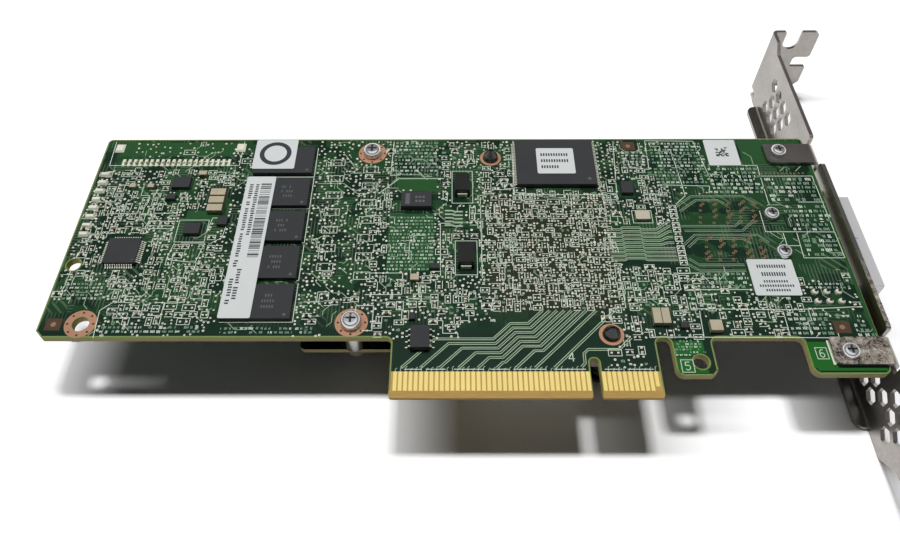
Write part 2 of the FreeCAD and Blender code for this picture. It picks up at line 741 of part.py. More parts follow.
def push_pin_springs():
    """Coil springs between the pin heads and the cooler's base."""
    length = spring_length()
    rise = length - 2 * spring_wire
    springs = []
    for x, y in pin_spots:
        helix = Part.makeHelix(rise / spring_turns, rise, spring_r)
        wire = Part.Wire(helix.Edges)
        section = Part.Wire([Part.makeCircle(spring_wire, V(spring_r, 0, 0), AXIS["Y"])])
        coil = wire.makePipeShell([section], True, True)
        coil.translate(V(x, y, base_z - length + spring_wire))
        springs.append(coil)
    return Part.makeCompound(springs)


# ---------------------------------------------------------------- cache daughterboard
def daughterboard():
    """Small board held under the main board by two standoffs and the mezzanine connector."""
    y0, y1 = daughter_y - daughter_w / 2, daughter_y + daughter_w / 2
    board = slab(frame_corners(daughter_x0, daughter_x1, y0, y1, 1.2), "XY", daughter_low, daughter_z)
    return cut(board, [rod(x, y, screw_r + hole_clear, daughter_low - 1, daughter_z + 1)
                       for x, y in standoff_spots])


def standoffs():
    """Threaded spacers between the two boards."""
    return Part.makeCompound([tube(x, y, standoff_r, screw_r, daughter_z, comp_z)
                              for x, y in standoff_spots])


def standoff_screws():
    """Screws from the solder face into the standoffs."""
    return Part.makeCompound([pan_screw(x, y, ring_t, comp_z - 0.45 * daughter_gap, post_head_r,
                                        post_head_h, screw_r) for x, y in standoff_spots])


def daughterboard_screws():
    """Screws from below the daughterboard into the standoffs."""
    return Part.makeCompound([pan_screw(x, y, daughter_low, daughter_z + 0.45 * daughter_gap,
                                        post_head_r, post_head_h, screw_r) for x, y in standoff_spots])


def mezzanine(lower):
    """One half of the board-to-board connector: the socket below or the plug above."""
    x = daughter_x1 - 0.8 * mezzanine_w
    mid = (comp_z + daughter_z) / 2
    if lower:
        body = block(x, daughter_y, mezzanine_w, mezzanine_l, daughter_z, mid + 1.0)
        return body.cut(block(x, daughter_y, mezzanine_w - 2 * mezzanine_wall,
                              mezzanine_l - 2 * mezzanine_wall, daughter_z + 1.2, mid + 1.1))
    play = 2 * mezzanine_wall + hole_clear
    tongue = block(x, daughter_y, mezzanine_w - play, mezzanine_l - play, daughter_z + 1.4, mid + 1.0)
    return fuse([block(x, daughter_y, mezzanine_w, mezzanine_l, mid + 1.0, comp_z), tongue])


def flash_chips():
    """Flash packages on the daughterboard's lower face, in a column."""
    chips = []
    x = daughter_x0 + 0.34 * daughter_l
    for i in range(2):
        y = daughter_y + (i - 0.5) * 0.36 * daughter_w
        chips.append(block(x, y, flash_l, flash_w, daughter_low - flash_t, daughter_low))
    return Part.makeCompound(chips)


def flash_controller():
    """Controller package beside the flash."""
    x = daughter_x1 - 0.25 * daughter_l
    return block(x, daughter_y, 0.3 * daughter_l, 0.3 * daughter_l, daughter_low - flash_t, daughter_low)


# ---------------------------------------------------------------- headers on the component face
def header_grid(header):
    """Places of a header's pins."""
    x, y, columns, rows, pitch = header[:5]
    return [(x + (i - (columns - 1) / 2) * pitch, y + (j - (rows - 1) / 2) * pitch)
            for i in range(columns) for j in range(rows)]


def header_body(header):
    """Moulded header box, open downwards, its pins standing in it."""
    x, y, columns, rows, pitch, height = header
    length = columns * pitch + header_wall * 2
    width = rows * pitch + header_wall * 2
    body = block(x, y, length, width, comp_z - height, comp_z)
    body = body.cut(block(x, y, length - 2 * header_wall, width - 2 * header_wall,
                          comp_z - height - 1, comp_z - header_floor))
    return cut(body, [block(px, py, pin_w, pin_w, comp_z - height - 1, comp_z + 1)
                      for px, py in header_grid(header)])


def header_pins(header):
    """Square pins whose tails stand out of the solder face."""
    height = header[5]
    return Part.makeCompound([block(px, py, pin_w, pin_w, comp_z - 0.75 * height, pin_tail)
                              for px, py in header_grid(header)])


# ---------------------------------------------------------------- solder-side chips
def chip_body(x, y, length, width, height, lift=0.0):
    """Moulded chip with drafted sides, its middle at x, y."""
    draft = min(0.12, 0.1 * height)
    lower = Part.makePolygon([V(x + sx * length / 2, y + sy * width / 2, lift)
                              for sx, sy in ((-1, -1), (1, -1), (1, 1), (-1, 1), (-1, -1))])
    upper = Part.makePolygon([V(x + sx * (length / 2 - draft), y + sy * (width / 2 - draft),
                                lift + height)
                              for sx, sy in ((-1, -1), (1, -1), (1, 1), (-1, 1), (-1, -1))])
    return Part.makeLoft([lower, upper], True)


def leaded_chip(x, y, length, width, height, pins_x, pins_y, pitch, reach):
    """Gull-wing chip: body, and leads on its X ends (pins_x a side) and Y sides (pins_y a side)."""
    body = block(x, y, length, width, lead_stand, lead_stand + height)
    lead = gull_lead(reach, lead_stand + height / 2, 0.4 * reach)
    rows = []
    if pins_x:
        rows += lead_row(x + length / 2, y, 0, pins_x, pitch, lead)
        rows += lead_row(x - length / 2, y, 180, pins_x, pitch, lead)
    if pins_y:
        rows += lead_row(x, y + width / 2, 90, pins_y, pitch, lead)
        rows += lead_row(x, y - width / 2, 270, pins_y, pitch, lead)
    return body, Part.makeCompound(rows)


def memory_chip(i):
    """One memory package of the column; the first is nearest the far edge."""
    y = memory_top - memory_w / 2 - i * memory_pitch
    return chip_body(memory_left + memory_l / 2, y, memory_l, memory_w, memory_t)


def capacitor_pair():
    """Moulded tantalum capacitors beside the processor, with their folded terminals."""
    bodies = []
    ends = []
    foot_w = 0.63 * tantalum_l
    for dx, dy in zip(tantalum_x, tantalum_y):
        x, y = sink_x - dx, sink_y + dy
        bodies.append(chip_body(x, y, tantalum_l, tantalum_w, tantalum_h, 0.15))
        for side in (-1, 1):
            edge = y + side * tantalum_w / 2
            upright = block(x, edge + side * tantalum_end / 2, foot_w, tantalum_end, 0,
                            0.55 * tantalum_h)
            foot = block(x, edge - side * tantalum_end, foot_w, 4 * tantalum_end, 0, 0.15)
            ends.append(fuse([upright, foot]))
    return Part.makeCompound(bodies), Part.makeCompound(ends)


def ceramic_capacitors():
    """Larger ceramic capacitors of the solder face: middle, length along X, width, height."""
    sizes = []
    for i in range(3):
        sizes.append((board_spot(0.1795, 0.7386 - 0.0339 * i), 3.4, 1.9, 1.2))
    sizes += [(board_spot(0.742, 0.254), 1.6, 3.6, 1.2), (board_spot(0.7525, 0.254), 1.6, 3.6, 1.2),
              (board_spot(0.81, 0.221), 2.4, 2.4, 1.2),
              (board_spot(0.0585, 0.7735), 1.4, 1.0, 0.7), (board_spot(0.0835, 0.7735), 1.4, 1.0, 0.7),
              (board_spot(0.1505, 0.83), 1.8, 1.2, 0.8), (board_spot(0.45, 0.397), 1.8, 1.5, 0.8)]
    return Part.makeCompound([block(x, y, l, w, 0, h) for (x, y), l, w, h in sizes])


def small_chips():
    """Small leadless chips of the solder face: middle, length along X, width, height."""
    sizes = [(board_spot(0.1245, 0.788), 4.2, 3.4, 0.8), (board_spot(0.1155, 0.724), 2.2, 1.6, 0.8),
             (board_spot(0.156, 0.587), 3.6, 3.1, 0.9), (board_spot(0.193, 0.62), 2.4, 2.4, 0.8),
             (board_spot(0.735, 0.761), 2.8, 3.6, 0.9), (board_spot(0.4485, 0.256), 1.4, 1.4, 0.7),
             (board_spot(0.475, 0.44), 2.2, 1.4, 0.7), (board_spot(0.774, 0.227), 1.8, 1.5, 0.7)]
    return Part.makeCompound([chip_body(x, y, l, w, h) for (x, y), l, w, h in sizes])


def sense_resistor():
    """Wide two-terminal part above the processor."""
    x, y = board_spot(0.449, 0.706)
    return chip_body(x, y, sense_l, sense_w, sense_h)


def crystal():
    """Clock crystal in its metal can."""
    x, y = board_spot(0.749, 0.642)
    return slab(frame_corners(x - 1.6, x + 1.6, y - 1.25, y + 1.25, 0.3), "XY", 0, 0.8)


def power_inductors():
    """Moulded inductors of the voltage converters, on the component face."""
    x = sink_x + sink_l / 2 + inductor_w
    half = inductor_w / 2
    solids = []
    for i in range(3):
        y = board_height - (i + 1) * 1.32 * inductor_w
        solids.append(slab(frame_corners(x - half, x + half, y - half, y + half, 0.8), "XY",
                           comp_z - inductor_h, comp_z))
    return Part.makeCompound(solids)


def polymer_capacitors():
    """Round can capacitors of the voltage converters, on the component face."""
    cans = []
    foot_t = 0.8
    y = cage_y + cage_w / 2 + 0.7 * can_w
    for i in range(2):
        x = sink_x + sink_l / 2 + 2 * inductor_w + (i + 0.5) * 1.2 * can_w
        base = block(x, y, can_w, can_w, comp_z - foot_t, comp_z)
        cans.append(fuse([base, rod(x, y, 0.47 * can_w, comp_z - can_h, comp_z - foot_t)]))
    return Part.makeCompound(cans)


# ---------------------------------------------------------------- labels
def label(x, y, length, width, z=0.0):
    """Thin paper label with its middle at x, y, lying at height z."""
    half_l, half_w = length / 2, width / 2
    return slab(frame_corners(x - half_l, x + half_l, y - half_w, y + half_w, 0.4), "XY", z, z + label_t)


tsop_x = sink_x + tsop_dx
tsop_y = board_height - tsop_top_gap
micro_y = board_spot(0, 0.4973)[1]
micro, micro_leads = leaded_chip(micro_x - board_left, micro_y, micro_l, micro_w, micro_t,
                                 micro_lead_count, micro_lead_count, chip_lead_pitch, 0.9)
firmware, firmware_leads = leaded_chip(tsop_x, tsop_y, tsop_l, tsop_w, tsop_t, tsop_lead_count, 0,
                                       chip_lead_pitch, 0.8)
regulator_x, regulator_y = board_spot(0.459, 0.1825)
regulator, regulator_leads = leaded_chip(regulator_x, regulator_y, regulator_l, regulator_w,
                                         regulator_t, regulator_lead_count, 0, regulator_lead_pitch, 1.0)
tantalums, tantalum_ends = capacitor_pair()
tsop_top = lead_stand + tsop_t

nodes = {
    "main_board": main_board(),
    "edge_contacts_front": contact_row(0, contact_t, True),
    "edge_contacts_back": contact_row(comp_z - contact_t, comp_z, False),
    "ground_rings": ground_rings(),
    "io_bracket": io_bracket(),
    "bracket_screws": bracket_screws(),
    "bracket_nuts": bracket_nuts(),
    "port_cage": port_cage(),
    "port_housings": port_housings(),
    "port_contacts": port_contacts(),
    "cage_gasket": cage_gasket(),
    "cage_screws": cage_fasteners(),
    "processor_package": package_block(package_w, package_z, comp_z, 0.6),
    "processor_lid": package_block(lid_w, lid_z, package_z, 1.2),
    "thermal_pad": package_block(lid_w - 1.0, sink_z, lid_z, 0.3),
    "heat_sink": heat_sink(),
    "push_pins": push_pins(),
    "push_pin_springs": push_pin_springs(),
    "daughterboard": daughterboard(),
    "standoffs": standoffs(),
    "standoff_screws": standoff_screws(),
    "daughterboard_screws": daughterboard_screws(),
    "mezzanine_socket": mezzanine(True),
    "mezzanine_plug": mezzanine(False),
    "flash_chips": flash_chips(),
    "flash_controller": flash_controller(),
    "backup_header": header_body(backup_header),
    "backup_header_pins": header_pins(backup_header),
    "status_header": header_body(status_header),
    "status_header_pins": header_pins(status_header),
    "service_header": header_body(service_header),
    "service_header_pins": header_pins(service_header),
    "microcontroller": micro,
    "microcontroller_leads": micro_leads,
    "firmware_flash": firmware,
    "firmware_flash_leads": firmware_leads,
    "regulator": regulator,
    "regulator_leads": regulator_leads,
    "tantalum_capacitors": tantalums,
    "tantalum_terminals": tantalum_ends,
    "ceramic_capacitors": ceramic_capacitors(),
    "small_chips": small_chips(),
    "sense_resistor": sense_resistor(),
    "crystal": crystal(),
    "power_inductors": power_inductors(),
    "polymer_capacitors": polymer_capacitors(),
    "strip_label": label(memory_left + strip_label_x, (strip_label_low + strip_label_high) / 2,
                         strip_label_l, strip_label_high - strip_label_low, memory_t),
    "memory_label": label(memory_left + memory_label_x, board_height - memory_label_y,
                          memory_label_l, memory_label_w, memory_t),
    "firmware_label": label(tsop_x + 0.1, tsop_y + 0.2, firmware_label_l, firmware_label_w, tsop_top),
    "square_label": label(board_right - square_label_x, cage_y - square_label_y,
                          square_label_l, square_label_w),
    "code_label": label(board_right - code_label_x, board_height - code_label_y,
                        code_label_l, code_label_w),
}
for number in range(memory_count):
    nodes["memory_chip_%d" % (number + 1)] = memory_chip(number)

os.makedirs("parts", exist_ok=True)
for name, shape in nodes.items():
    shape = shape.copy()
    shape.translate(-origin)
    shape.exportStep("parts/%s.step" % name)
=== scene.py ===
"""Finish of the storage controller card: board print, copper, solder, small parts, labels and stage.

Places on the board are in millimetres: x from the key slot towards the bracket, y from the contacts'
free edge towards the far edge, and lift outwards from the face that carries the piece.
"""
import json
import math
import random

import bpy
from bpy.props import FloatProperty, FloatVectorProperty, IntProperty, PointerProperty
from mathutils import Matrix, Vector


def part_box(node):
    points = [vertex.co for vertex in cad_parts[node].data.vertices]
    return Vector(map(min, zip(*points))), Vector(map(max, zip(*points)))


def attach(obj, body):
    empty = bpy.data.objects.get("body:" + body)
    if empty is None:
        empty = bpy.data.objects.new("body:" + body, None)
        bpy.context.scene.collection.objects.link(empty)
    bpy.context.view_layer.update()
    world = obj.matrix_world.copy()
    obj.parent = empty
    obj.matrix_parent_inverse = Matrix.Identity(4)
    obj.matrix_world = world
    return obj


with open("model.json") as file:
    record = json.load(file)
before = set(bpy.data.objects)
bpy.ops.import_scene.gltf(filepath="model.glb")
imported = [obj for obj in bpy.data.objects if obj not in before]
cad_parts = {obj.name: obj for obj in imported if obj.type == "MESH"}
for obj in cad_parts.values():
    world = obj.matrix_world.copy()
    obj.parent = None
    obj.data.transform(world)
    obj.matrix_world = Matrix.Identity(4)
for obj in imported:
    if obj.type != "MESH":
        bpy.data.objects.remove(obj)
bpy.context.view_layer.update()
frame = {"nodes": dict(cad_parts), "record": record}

bl_info = {
    "name": "Controller card finish",
    "version": (1, 0, 0),
    "blender": (4, 5, 0),
    "location": "3D View > Sidebar > Card",
    "description": "Board print, copper, solder, small parts, labels and stage of a controller card",
    "category": "Object",
}

MM = 0.001
BOARD_LO, BOARD_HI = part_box("main_board")
LEFT = -110.86                         # board's left end
KEY_X = BOARD_LO.x - LEFT * MM         # middle of the key slot
EDGE_Y = BOARD_LO.y                    # contacts' free edge
FACE_Z = BOARD_HI.z                    # solder face
BACK_Z = BOARD_LO.z                    # component face
TONGUE_DEPTH, TONGUE_END = 5.45, 12.8  # bare laminate between the contacts: upper and right edge


def srgb(red, green, blue):
    """Linear colour from display values of 0 to 255."""
    return tuple((v / 255 / 12.92) if v <= 10 else ((v / 255 + 0.055) / 1.055) ** 2.4
                 for v in (red, green, blue))


# ------------------------------------------------------------------ properties
def colour(name, description, value):
    return FloatVectorProperty(name=name, description=description, size=3, subtype="COLOR",
                               min=0, max=1, default=srgb(*value))


def length(name, description, millimetres):
    return FloatProperty(name=name, description=description, default=millimetres * MM, min=0,
                         unit="LENGTH", precision=5)


class CardSizes(bpy.types.PropertyGroup):
    """Sizes of the board's fine detail."""
    via: length("Via", "Outer width of a plated via", 0.5)
    via_hole: length("Via hole", "Width of a via's dark hole", 0.17)
    test_pad: length("Test pad", "Width of a round test pad", 0.7)
    print_line: length("Print line", "Width of a printed line", 0.13)
    trace: length("Trace", "Width of a signal trace", 0.17)
    rim: length("Rim", "Width of the pale line along the cut edges", 0.3)
    pair_gap: length("Pair gap", "Distance between the two traces of a pair", 0.42)
    part_length: length("Part length", "Length of a small two-terminal part", 1.0)
    part_width: length("Part width", "Width of a small two-terminal part", 0.5)
    part_height: length("Part height", "Height of a small two-terminal part", 0.36)
    spacing: length("Via spacing", "Mean distance between vias", 0.86)
    part_spacing: length("Part spacing", "Mean distance between small parts", 1.75)
    seed: IntProperty(name="Seed", description="Start of the spread of fine details", default=7)


class CardColours(bpy.types.PropertyGroup):
    """Colours of the board, its print and its metals."""
    mask: colour("Mask", "Solder mask over bare laminate", (14, 40, 26))
    mask_copper: colour("Mask on copper", "Solder mask over buried copper", (31, 66, 36))
    pour: colour("Pour", "Solder mask over a wide pour", (38, 78, 42))
    edge_pour: colour("Edge pour", "Solder mask over the pours of the hook and the foot", (30, 94, 34))
    mask_trace: colour("Mask on trace", "Solder mask over a trace", (164, 184, 156))
    laminate: colour("Laminate", "Cut edge of the board", (200, 180, 122))
    rim: colour("Rim", "Pale line of mask along the cut edges", (170, 190, 112))
    tongue: colour("Tongue", "Bare laminate between the contacts", (186, 152, 88))
    print_white: colour("Print", "White component print", (212, 224, 208))
    print_faint: colour("Faint print", "Small print that has sunk into the mask", (132, 162, 138))
    gold: colour("Gold", "Edge contacts", (250, 226, 140))
    copper: colour("Copper", "Bare copper rings", (198, 150, 120))
    solder: colour("Solder", "Tinned pads and solder", (238, 238, 220))
    nickel: colour("Nickel", "Bracket sheet", (170, 165, 160))
    steel: colour("Steel", "Screws and connector shell", (226, 227, 228))
    aluminium: colour("Aluminium", "Cooler and capacitor cans", (200, 202, 204))
    epoxy: colour("Epoxy", "Moulded chip bodies", (50, 51, 53))
    plastic: colour("Plastic", "Black connector housings", (24, 24, 25))
    ceramic: colour("Ceramic", "Ceramic capacitors", (182, 172, 148))
    paper: colour("Paper", "Labels", (204, 208, 207))
    ink: colour("Ink", "Marks on the labels", (52, 54, 60))
    floor: colour("Floor", "Studio floor", (190, 190, 190))


def sizes():
    return bpy.context.scene.card_sizes


def hue(name):
    """A property's colour, ready for a socket."""
    return tuple(getattr(bpy.context.scene.card_colours, name)) + (1.0,)


def tone(*display):
    """A fixed colour from display values, ready for a socket."""
    return srgb(*display) + (1.0,)


def shade(colour_value, factor):
    """Darker tone of a colour."""
    return tuple(min(1.0, c * factor) for c in colour_value[:3]) + (1.0,)


def resolve(given):
    """Colour from a property's name, from a name and a factor, or from three display values."""
    if isinstance(given, str):
        return hue(given)
    return shade(hue(given[0]), given[1]) if len(given) == 2 else tone(*given)


# ------------------------------------------------------------------ mesh building
CORNERS = ((-1, -1), (1, -1), (1, 1), (-1, 1))


def circle(x, y, r, sides, turn=0.0):
    """Corners of a regular polygon, turned by a share of one side."""
    angles = [math.tau * (k + turn) / sides for k in range(sides)]
    return [(x + r * math.cos(a), y + r * math.sin(a)) for a in angles]


class Pile:
    """Faces gathered for one mesh object; back turns them onto the component face."""

    def __init__(self, back=False):
        self.points, self.faces, self.back = [], [], back

    def point(self, x, y, lift):
        z = BACK_Z - lift * MM if self.back else FACE_Z + lift * MM
        self.points.append((KEY_X + x * MM, EDGE_Y + y * MM, z))
        return len(self.points) - 1

    def loop(self, corners, lift):
        return [self.point(x, y, lift) for x, y in corners]

    def face(self, ids):
        self.faces.append(tuple(reversed(ids)) if self.back else tuple(ids))

    def band(self, first, second):
        """Faces between two loops of points."""
        for k in range(len(first)):
            n = (k + 1) % len(first)
            self.face((first[k], first[n], second[n], second[k]))

    def polygon(self, corners, lift):
        self.face(self.loop(corners, lift))

    def rect(self, x0, x1, y0, y1, lift):
        self.polygon([(x0, y0), (x1, y0), (x1, y1), (x0, y1)], lift)

    def bar(self, start, end, width, lift):
        """Straight strip between two places."""
        (x0, y0), (x1, y1) = start, end
        run = math.hypot(x1 - x0, y1 - y0)
        if run > 0:
            nx, ny = (y0 - y1) / run * width / 2, (x1 - x0) / run * width / 2
            self.polygon([(x0 - nx, y0 - ny), (x1 - nx, y1 - ny), (x1 + nx, y1 + ny), (x0 + nx, y0 + ny)],
                         lift)

    def path(self, places, width, lift):
        for start, end in zip(places, places[1:]):
            self.bar(start, end, width, lift)

    def frame(self, x0, x1, y0, y1, width, lift):
        """Outline of a rectangle."""
        half = width / 2
        self.rect(x0 - half, x1 + half, y0 - half, y0 + half, lift)
        self.rect(x0 - half, x1 + half, y1 - half, y1 + half, lift)
        self.rect(x0 - half, x0 + half, y0 + half, y1 - half, lift)
        self.rect(x1 - half, x1 + half, y0 + half, y1 - half, lift)

    def outline(self, x, y, wide, high, width, lift):
        """Outline of a rectangle round its middle."""
        self.frame(x - wide / 2, x + wide / 2, y - high / 2, y + high / 2, width, lift)

    def disc(self, x, y, r, lift, sides):
        self.polygon(circle(x, y, r, sides), lift)

    def ring(self, x, y, r_out, r_in, lift, sides):
        outer, inner = (self.loop(circle(x, y, r, sides, 0.5), lift) for r in (r_out, r_in))
        self.band(outer, inner)

    def block(self, x, y, long, wide, low, high, draft):
        """Block without its underside; draft draws its top in."""
        base, top = (self.loop([(x + i * (long / 2 - inset), y + j * (wide / 2 - inset)) for i, j in CORNERS],
                               lift) for inset, lift in ((0.0, low), (draft, high)))
        self.face(top)
        self.band(base, top)

    def dome(self, x, y, r, low, high):
        """Low rounded bead, as solder makes."""
        levels = [self.loop(circle(x, y, r * math.cos(turn), 8),
                            low + (high - low) * math.sin(turn * 1.57)) for turn in (0, 0.5, 1.0)]
        for lower, upper in zip(levels, levels[1:]):
            self.band(lower, upper)
        self.face(levels[-1])

    def piece(self, name, material, slot):
        """Makes the mesh object, riding on the card."""
        if not self.faces:
            raise RuntimeError(f"{name} has no faces")
        mesh = bpy.data.meshes.new(name)
        mesh.from_pydata(self.points, [], self.faces)
        mesh.materials.append(MATERIALS[material])
        made = bpy.data.objects.new(name, mesh)
        bpy.context.scene.collection.objects.link(made)
        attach(made, "root")


class Room:
    """Free places on one face of the board."""
    CELL = 0.2
    # pieces flat enough to build on, and how far above the mask they may reach
    LEVEL = ("main_board", "copper_pours", "signal_traces", "board_rim", "back_traces", "edge_pours")
    STEP = 0.03

    def __init__(self, back=False):
        self.back = back
        self.taken = set()
        self.quiet = set()
        self.depsgraph = bpy.context.evaluated_depsgraph_get()

    def bare(self, x, y):
        """Whether the board itself is the first thing met above this place."""
        start = Vector((KEY_X + x * MM, EDGE_Y + y * MM, BACK_Z - 0.05 if self.back else FACE_Z + 0.05))
        way = Vector((0, 0, 1 if self.back else -1))
        hit, place, _, _, thing, _ = bpy.context.scene.ray_cast(self.depsgraph, start, way)
        level = BACK_Z if self.back else FACE_Z
        return hit and thing.name in self.LEVEL and abs(place.z - level) < self.STEP * MM

    def clear(self, x, y, long, wide):
        a, b = long / 2, wide / 2
        return all(self.bare(x + i * a, y + j * b) for i, j in ((0, 0), *CORNERS))

    def cells(self, x, y, long, wide):
        c = self.CELL
        across, down = (range(math.floor((place - size / 2) / c), math.floor((place + size / 2) / c) + 1)
                        for place, size in ((x, long), (y, wide)))
        return {(i, j) for i in across for j in down}

    def block_off(self, x0, x1, y0, y1):
        self.quiet |= self.cells((x0 + x1) / 2, (y0 + y1) / 2, x1 - x0, y1 - y0)
        self.taken |= self.quiet

    def take(self, x, y, long, wide):
        """Claims the place if it is free and bare."""
        wanted = self.cells(x, y, long, wide)
        if wanted & self.taken or not self.clear(x, y, long, wide):
            return False
        self.taken |= wanted
        return True


# ------------------------------------------------------------------ shader building
BUMP = 0.00002                         # height of fine relief


def new_group(name, inputs, outputs):
    """Node group with these sockets: {name: (type, default)}. Returns it with its inputs and its end."""
    tree = bpy.data.node_groups.new(name, "ShaderNodeTree")
    for label, (kind, value) in inputs.items():
        socket = tree.interface.new_socket(name=label, in_out="INPUT", socket_type=f"NodeSocket{kind}")
        socket.default_value = value
    for label, kind in outputs.items():
        tree.interface.new_socket(name=label, in_out="OUTPUT", socket_type=f"NodeSocket{kind}")
    return tree, tree.nodes.new("NodeGroupInput").outputs, tree.nodes.new("NodeGroupOutput")


def add(tree, kind, settings=None, **links):
    """Adds a node, sets its attributes and feeds its sockets from values or other sockets."""
    node = tree.nodes.new(f"ShaderNode{kind}")
    for key, value in (settings or {}).items():
        setattr(node, key, value)
    for key, value in links.items():
        index = int(key[1:]) if key[0] == "i" and key[1:].isdigit() else key.replace("_", " ")
        if isinstance(value, bpy.types.NodeSocket):
            tree.links.new(value, node.inputs[index])
        else:
            node.inputs[index].default_value = value
    return node


def maths(tree, operation, first, second=0.5):
    return add(tree, "Math", {"operation": operation}, i0=first, i1=second).outputs[0]


def blend(tree, factor, first, second):
    """Mix of two colours."""
    return add(tree, "Mix", {"data_type": "RGBA"}, i0=factor, i6=first, i7=second).outputs[2]


def between(tree, factor, first, second):
    """Mix of two numbers."""
    return add(tree, "Mix", {"data_type": "FLOAT"}, i0=factor, i2=first, i3=second).outputs[0]


def times(tree, first, *others):
    """Product of several values."""
    for other in others:
        first = maths(tree, "MULTIPLY", first, other)
    return first


def spread(tree, value, low, high, to_low=0.0, to_high=1.0):
    """Value brought from one range to another, clamped."""
    node = add(tree, "MapRange", {"clamp": True}, i0=value, i1=low, i2=high, i3=to_low, i4=to_high)
    return node.outputs[0]


def window(tree, value, rise, full, fade, end):
    """1 between two edges, with a soft run at each."""
    return times(tree, spread(tree, value, rise, full), spread(tree, value, fade, end, 1.0, 0.0))


def place_mm(tree):
    """Object place in millimetres."""
    coords = add(tree, "TexCoord").outputs["Object"]
    return add(tree, "VectorMath", {"operation": "SCALE"}, i0=coords, Scale=1000.0).outputs[0]


def close(tree, out, **sockets):
    """Feeds a group's outputs."""
    for name, socket in sockets.items():
        tree.links.new(socket, out.inputs[name])
    return tree


def mottle_group():
    """Cloudy drift between two colours, with a finer grain on top."""
    tree, given, out = new_group(
        "Mottle", {"First": ("Color", (1, 1, 1, 1)), "Second": ("Color", (0, 0, 0, 1)),
                   "Drift": ("Float", 8.0), "Grain": ("Float", 0.5), "Grain share": ("Float", 0.4)},
        {"Color": "Color", "Value": "Float"})
    at = place_mm(tree)
    broad = add(tree, "TexNoise", i0=at, Scale=maths(tree, "DIVIDE", 1.0, given["Drift"]), Detail=4.0)
    fine = add(tree, "TexNoise", i0=at, Scale=maths(tree, "DIVIDE", 1.0, given["Grain"]), Detail=2.0)
    mixed = between(tree, given["Grain share"], broad.outputs[0], fine.outputs[0])
    value = spread(tree, mixed, 0.32, 0.68)
    return close(tree, out, Color=blend(tree, value, given["First"], given["Second"]), Value=value)


def relief_group():
    """Fine surface relief as a bumped normal."""
    tree, given, out = new_group(
        "Relief", {"Size": ("Float", 0.2), "Strength": ("Float", 0.2)}, {"Normal": "Vector"})
    noise = add(tree, "TexNoise", i0=place_mm(tree), Detail=3.0,
                Scale=maths(tree, "DIVIDE", 1.0, given["Size"]))
    bump = add(tree, "Bump", Strength=given["Strength"], Distance=BUMP, Height=noise.outputs[0])
    return close(tree, out, Normal=bump.outputs[0])


def grain_group():
    """Rolled or brushed grain: noise drawn out along one axis."""
    tree, given, out = new_group(
        "Rolled grain", {"Stretch": ("Vector", (0.2, 4.0, 4.0)), "Strength": ("Float", 0.15)},
        {"Value": "Float", "Normal": "Vector"})
    at = add(tree, "VectorMath", {"operation": "MULTIPLY"}, i0=place_mm(tree), i1=given["Stretch"])
    noise = add(tree, "TexNoise", i0=at.outputs[0], Scale=1.0, Detail=3.0)
    bump = add(tree, "Bump", Strength=given["Strength"], Distance=BUMP, Height=noise.outputs[0])
    return close(tree, out, Value=spread(tree, noise.outputs[0], 0.3, 0.7), Normal=bump.outputs[0])


def side_group():
    """1 on cut edges and bevels, 0 on level faces."""
    tree, _, out = new_group("Cut edges", {}, {"Value": "Float"})
    normal = add(tree, "NewGeometry").outputs["Normal"]
    upright = maths(tree, "ABSOLUTE", add(tree, "SeparateXYZ", i0=normal).outputs["Z"])
    return close(tree, out, Value=maths(tree, "LESS_THAN", upright, 0.97))


def copper_group():
    """Pattern of buried copper under the mask: broad pours and bundles of fine traces."""
    tree, _, out = new_group("Buried copper", {}, {"Pour": "Float", "Traces": "Float"})
    at = place_mm(tree)
    cells = add(tree, "TexVoronoi", {"distance": "CHEBYCHEV"}, i0=at, Scale=0.24, Randomness=0.9)
    pick = add(tree, "SeparateColor", i0=cells.outputs["Color"])
    pour = spread(tree, pick.outputs[0], 0.52, 0.62)
    along = add(tree, "TexWave", {"bands_direction": "X"}, i0=at, Scale=0.42, Distortion=0.0).outputs[1]
    across = add(tree, "TexWave", {"bands_direction": "Y"}, i0=at, Scale=0.42, Distortion=0.0).outputs[1]
    slanted = add(tree, "TexWave", {"bands_direction": "DIAGONAL"}, i0=at, Scale=0.3).outputs[1]
    lines = between(tree, maths(tree, "GREATER_THAN", pick.outputs[1], 0.5), along, across)
    lines = between(tree, maths(tree, "GREATER_THAN", pick.outputs[1], 0.82), lines, slanted)
    patch = spread(tree, add(tree, "TexNoise", i0=at, Scale=0.16, Detail=2.0).outputs[0], 0.47, 0.53)
    traces = times(tree, spread(tree, lines, 0.72, 0.82), patch)
    return close(tree, out, Pour=pour, Traces=traces)


GROUPS = {}


def make_groups():
    for name, build in (("mottle", mottle_group), ("relief", relief_group), ("grain", grain_group),
                        ("sides", side_group), ("copper", copper_group)):
        GROUPS[name] = build()


def use(tree, name, **links):
    """Group node of this name."""
    return add(tree, "Group", {"node_tree": GROUPS[name]}, **links)


class Finish:
    """One material: a principled shader whose sockets are fed by the groups."""

    def __init__(self, name, **constants):
        self.material = bpy.data.materials.new(name)
        self.material.use_nodes = True
        self.tree = self.material.node_tree
        self.shader = self.tree.nodes["Principled BSDF"]
        for key, value in constants.items():
            self.shader.inputs[key.replace("_", " ")].default_value = value

    def feed(self, key, socket):
        self.tree.links.new(socket, self.shader.inputs[key])
        return self

    def clouds(self, first, second, drift, grain, share=0.4):
        """Colour drifting between two tones."""
        node = use(self.tree, "mottle", First=first, Second=second, Drift=drift, Grain=grain,
                   Grain_share=share)
        self.feed("Base Color", node.outputs["Color"])
        return node.outputs["Value"]

    def relief(self, size, strength):
        return self.feed("Normal", use(self.tree, "relief", Size=size, Strength=strength).outputs[0])

    def gloss(self, value, low, high):
        """Roughness between two values."""
        return self.feed("Roughness", spread(self.tree, value, 0.0, 1.0, low, high))


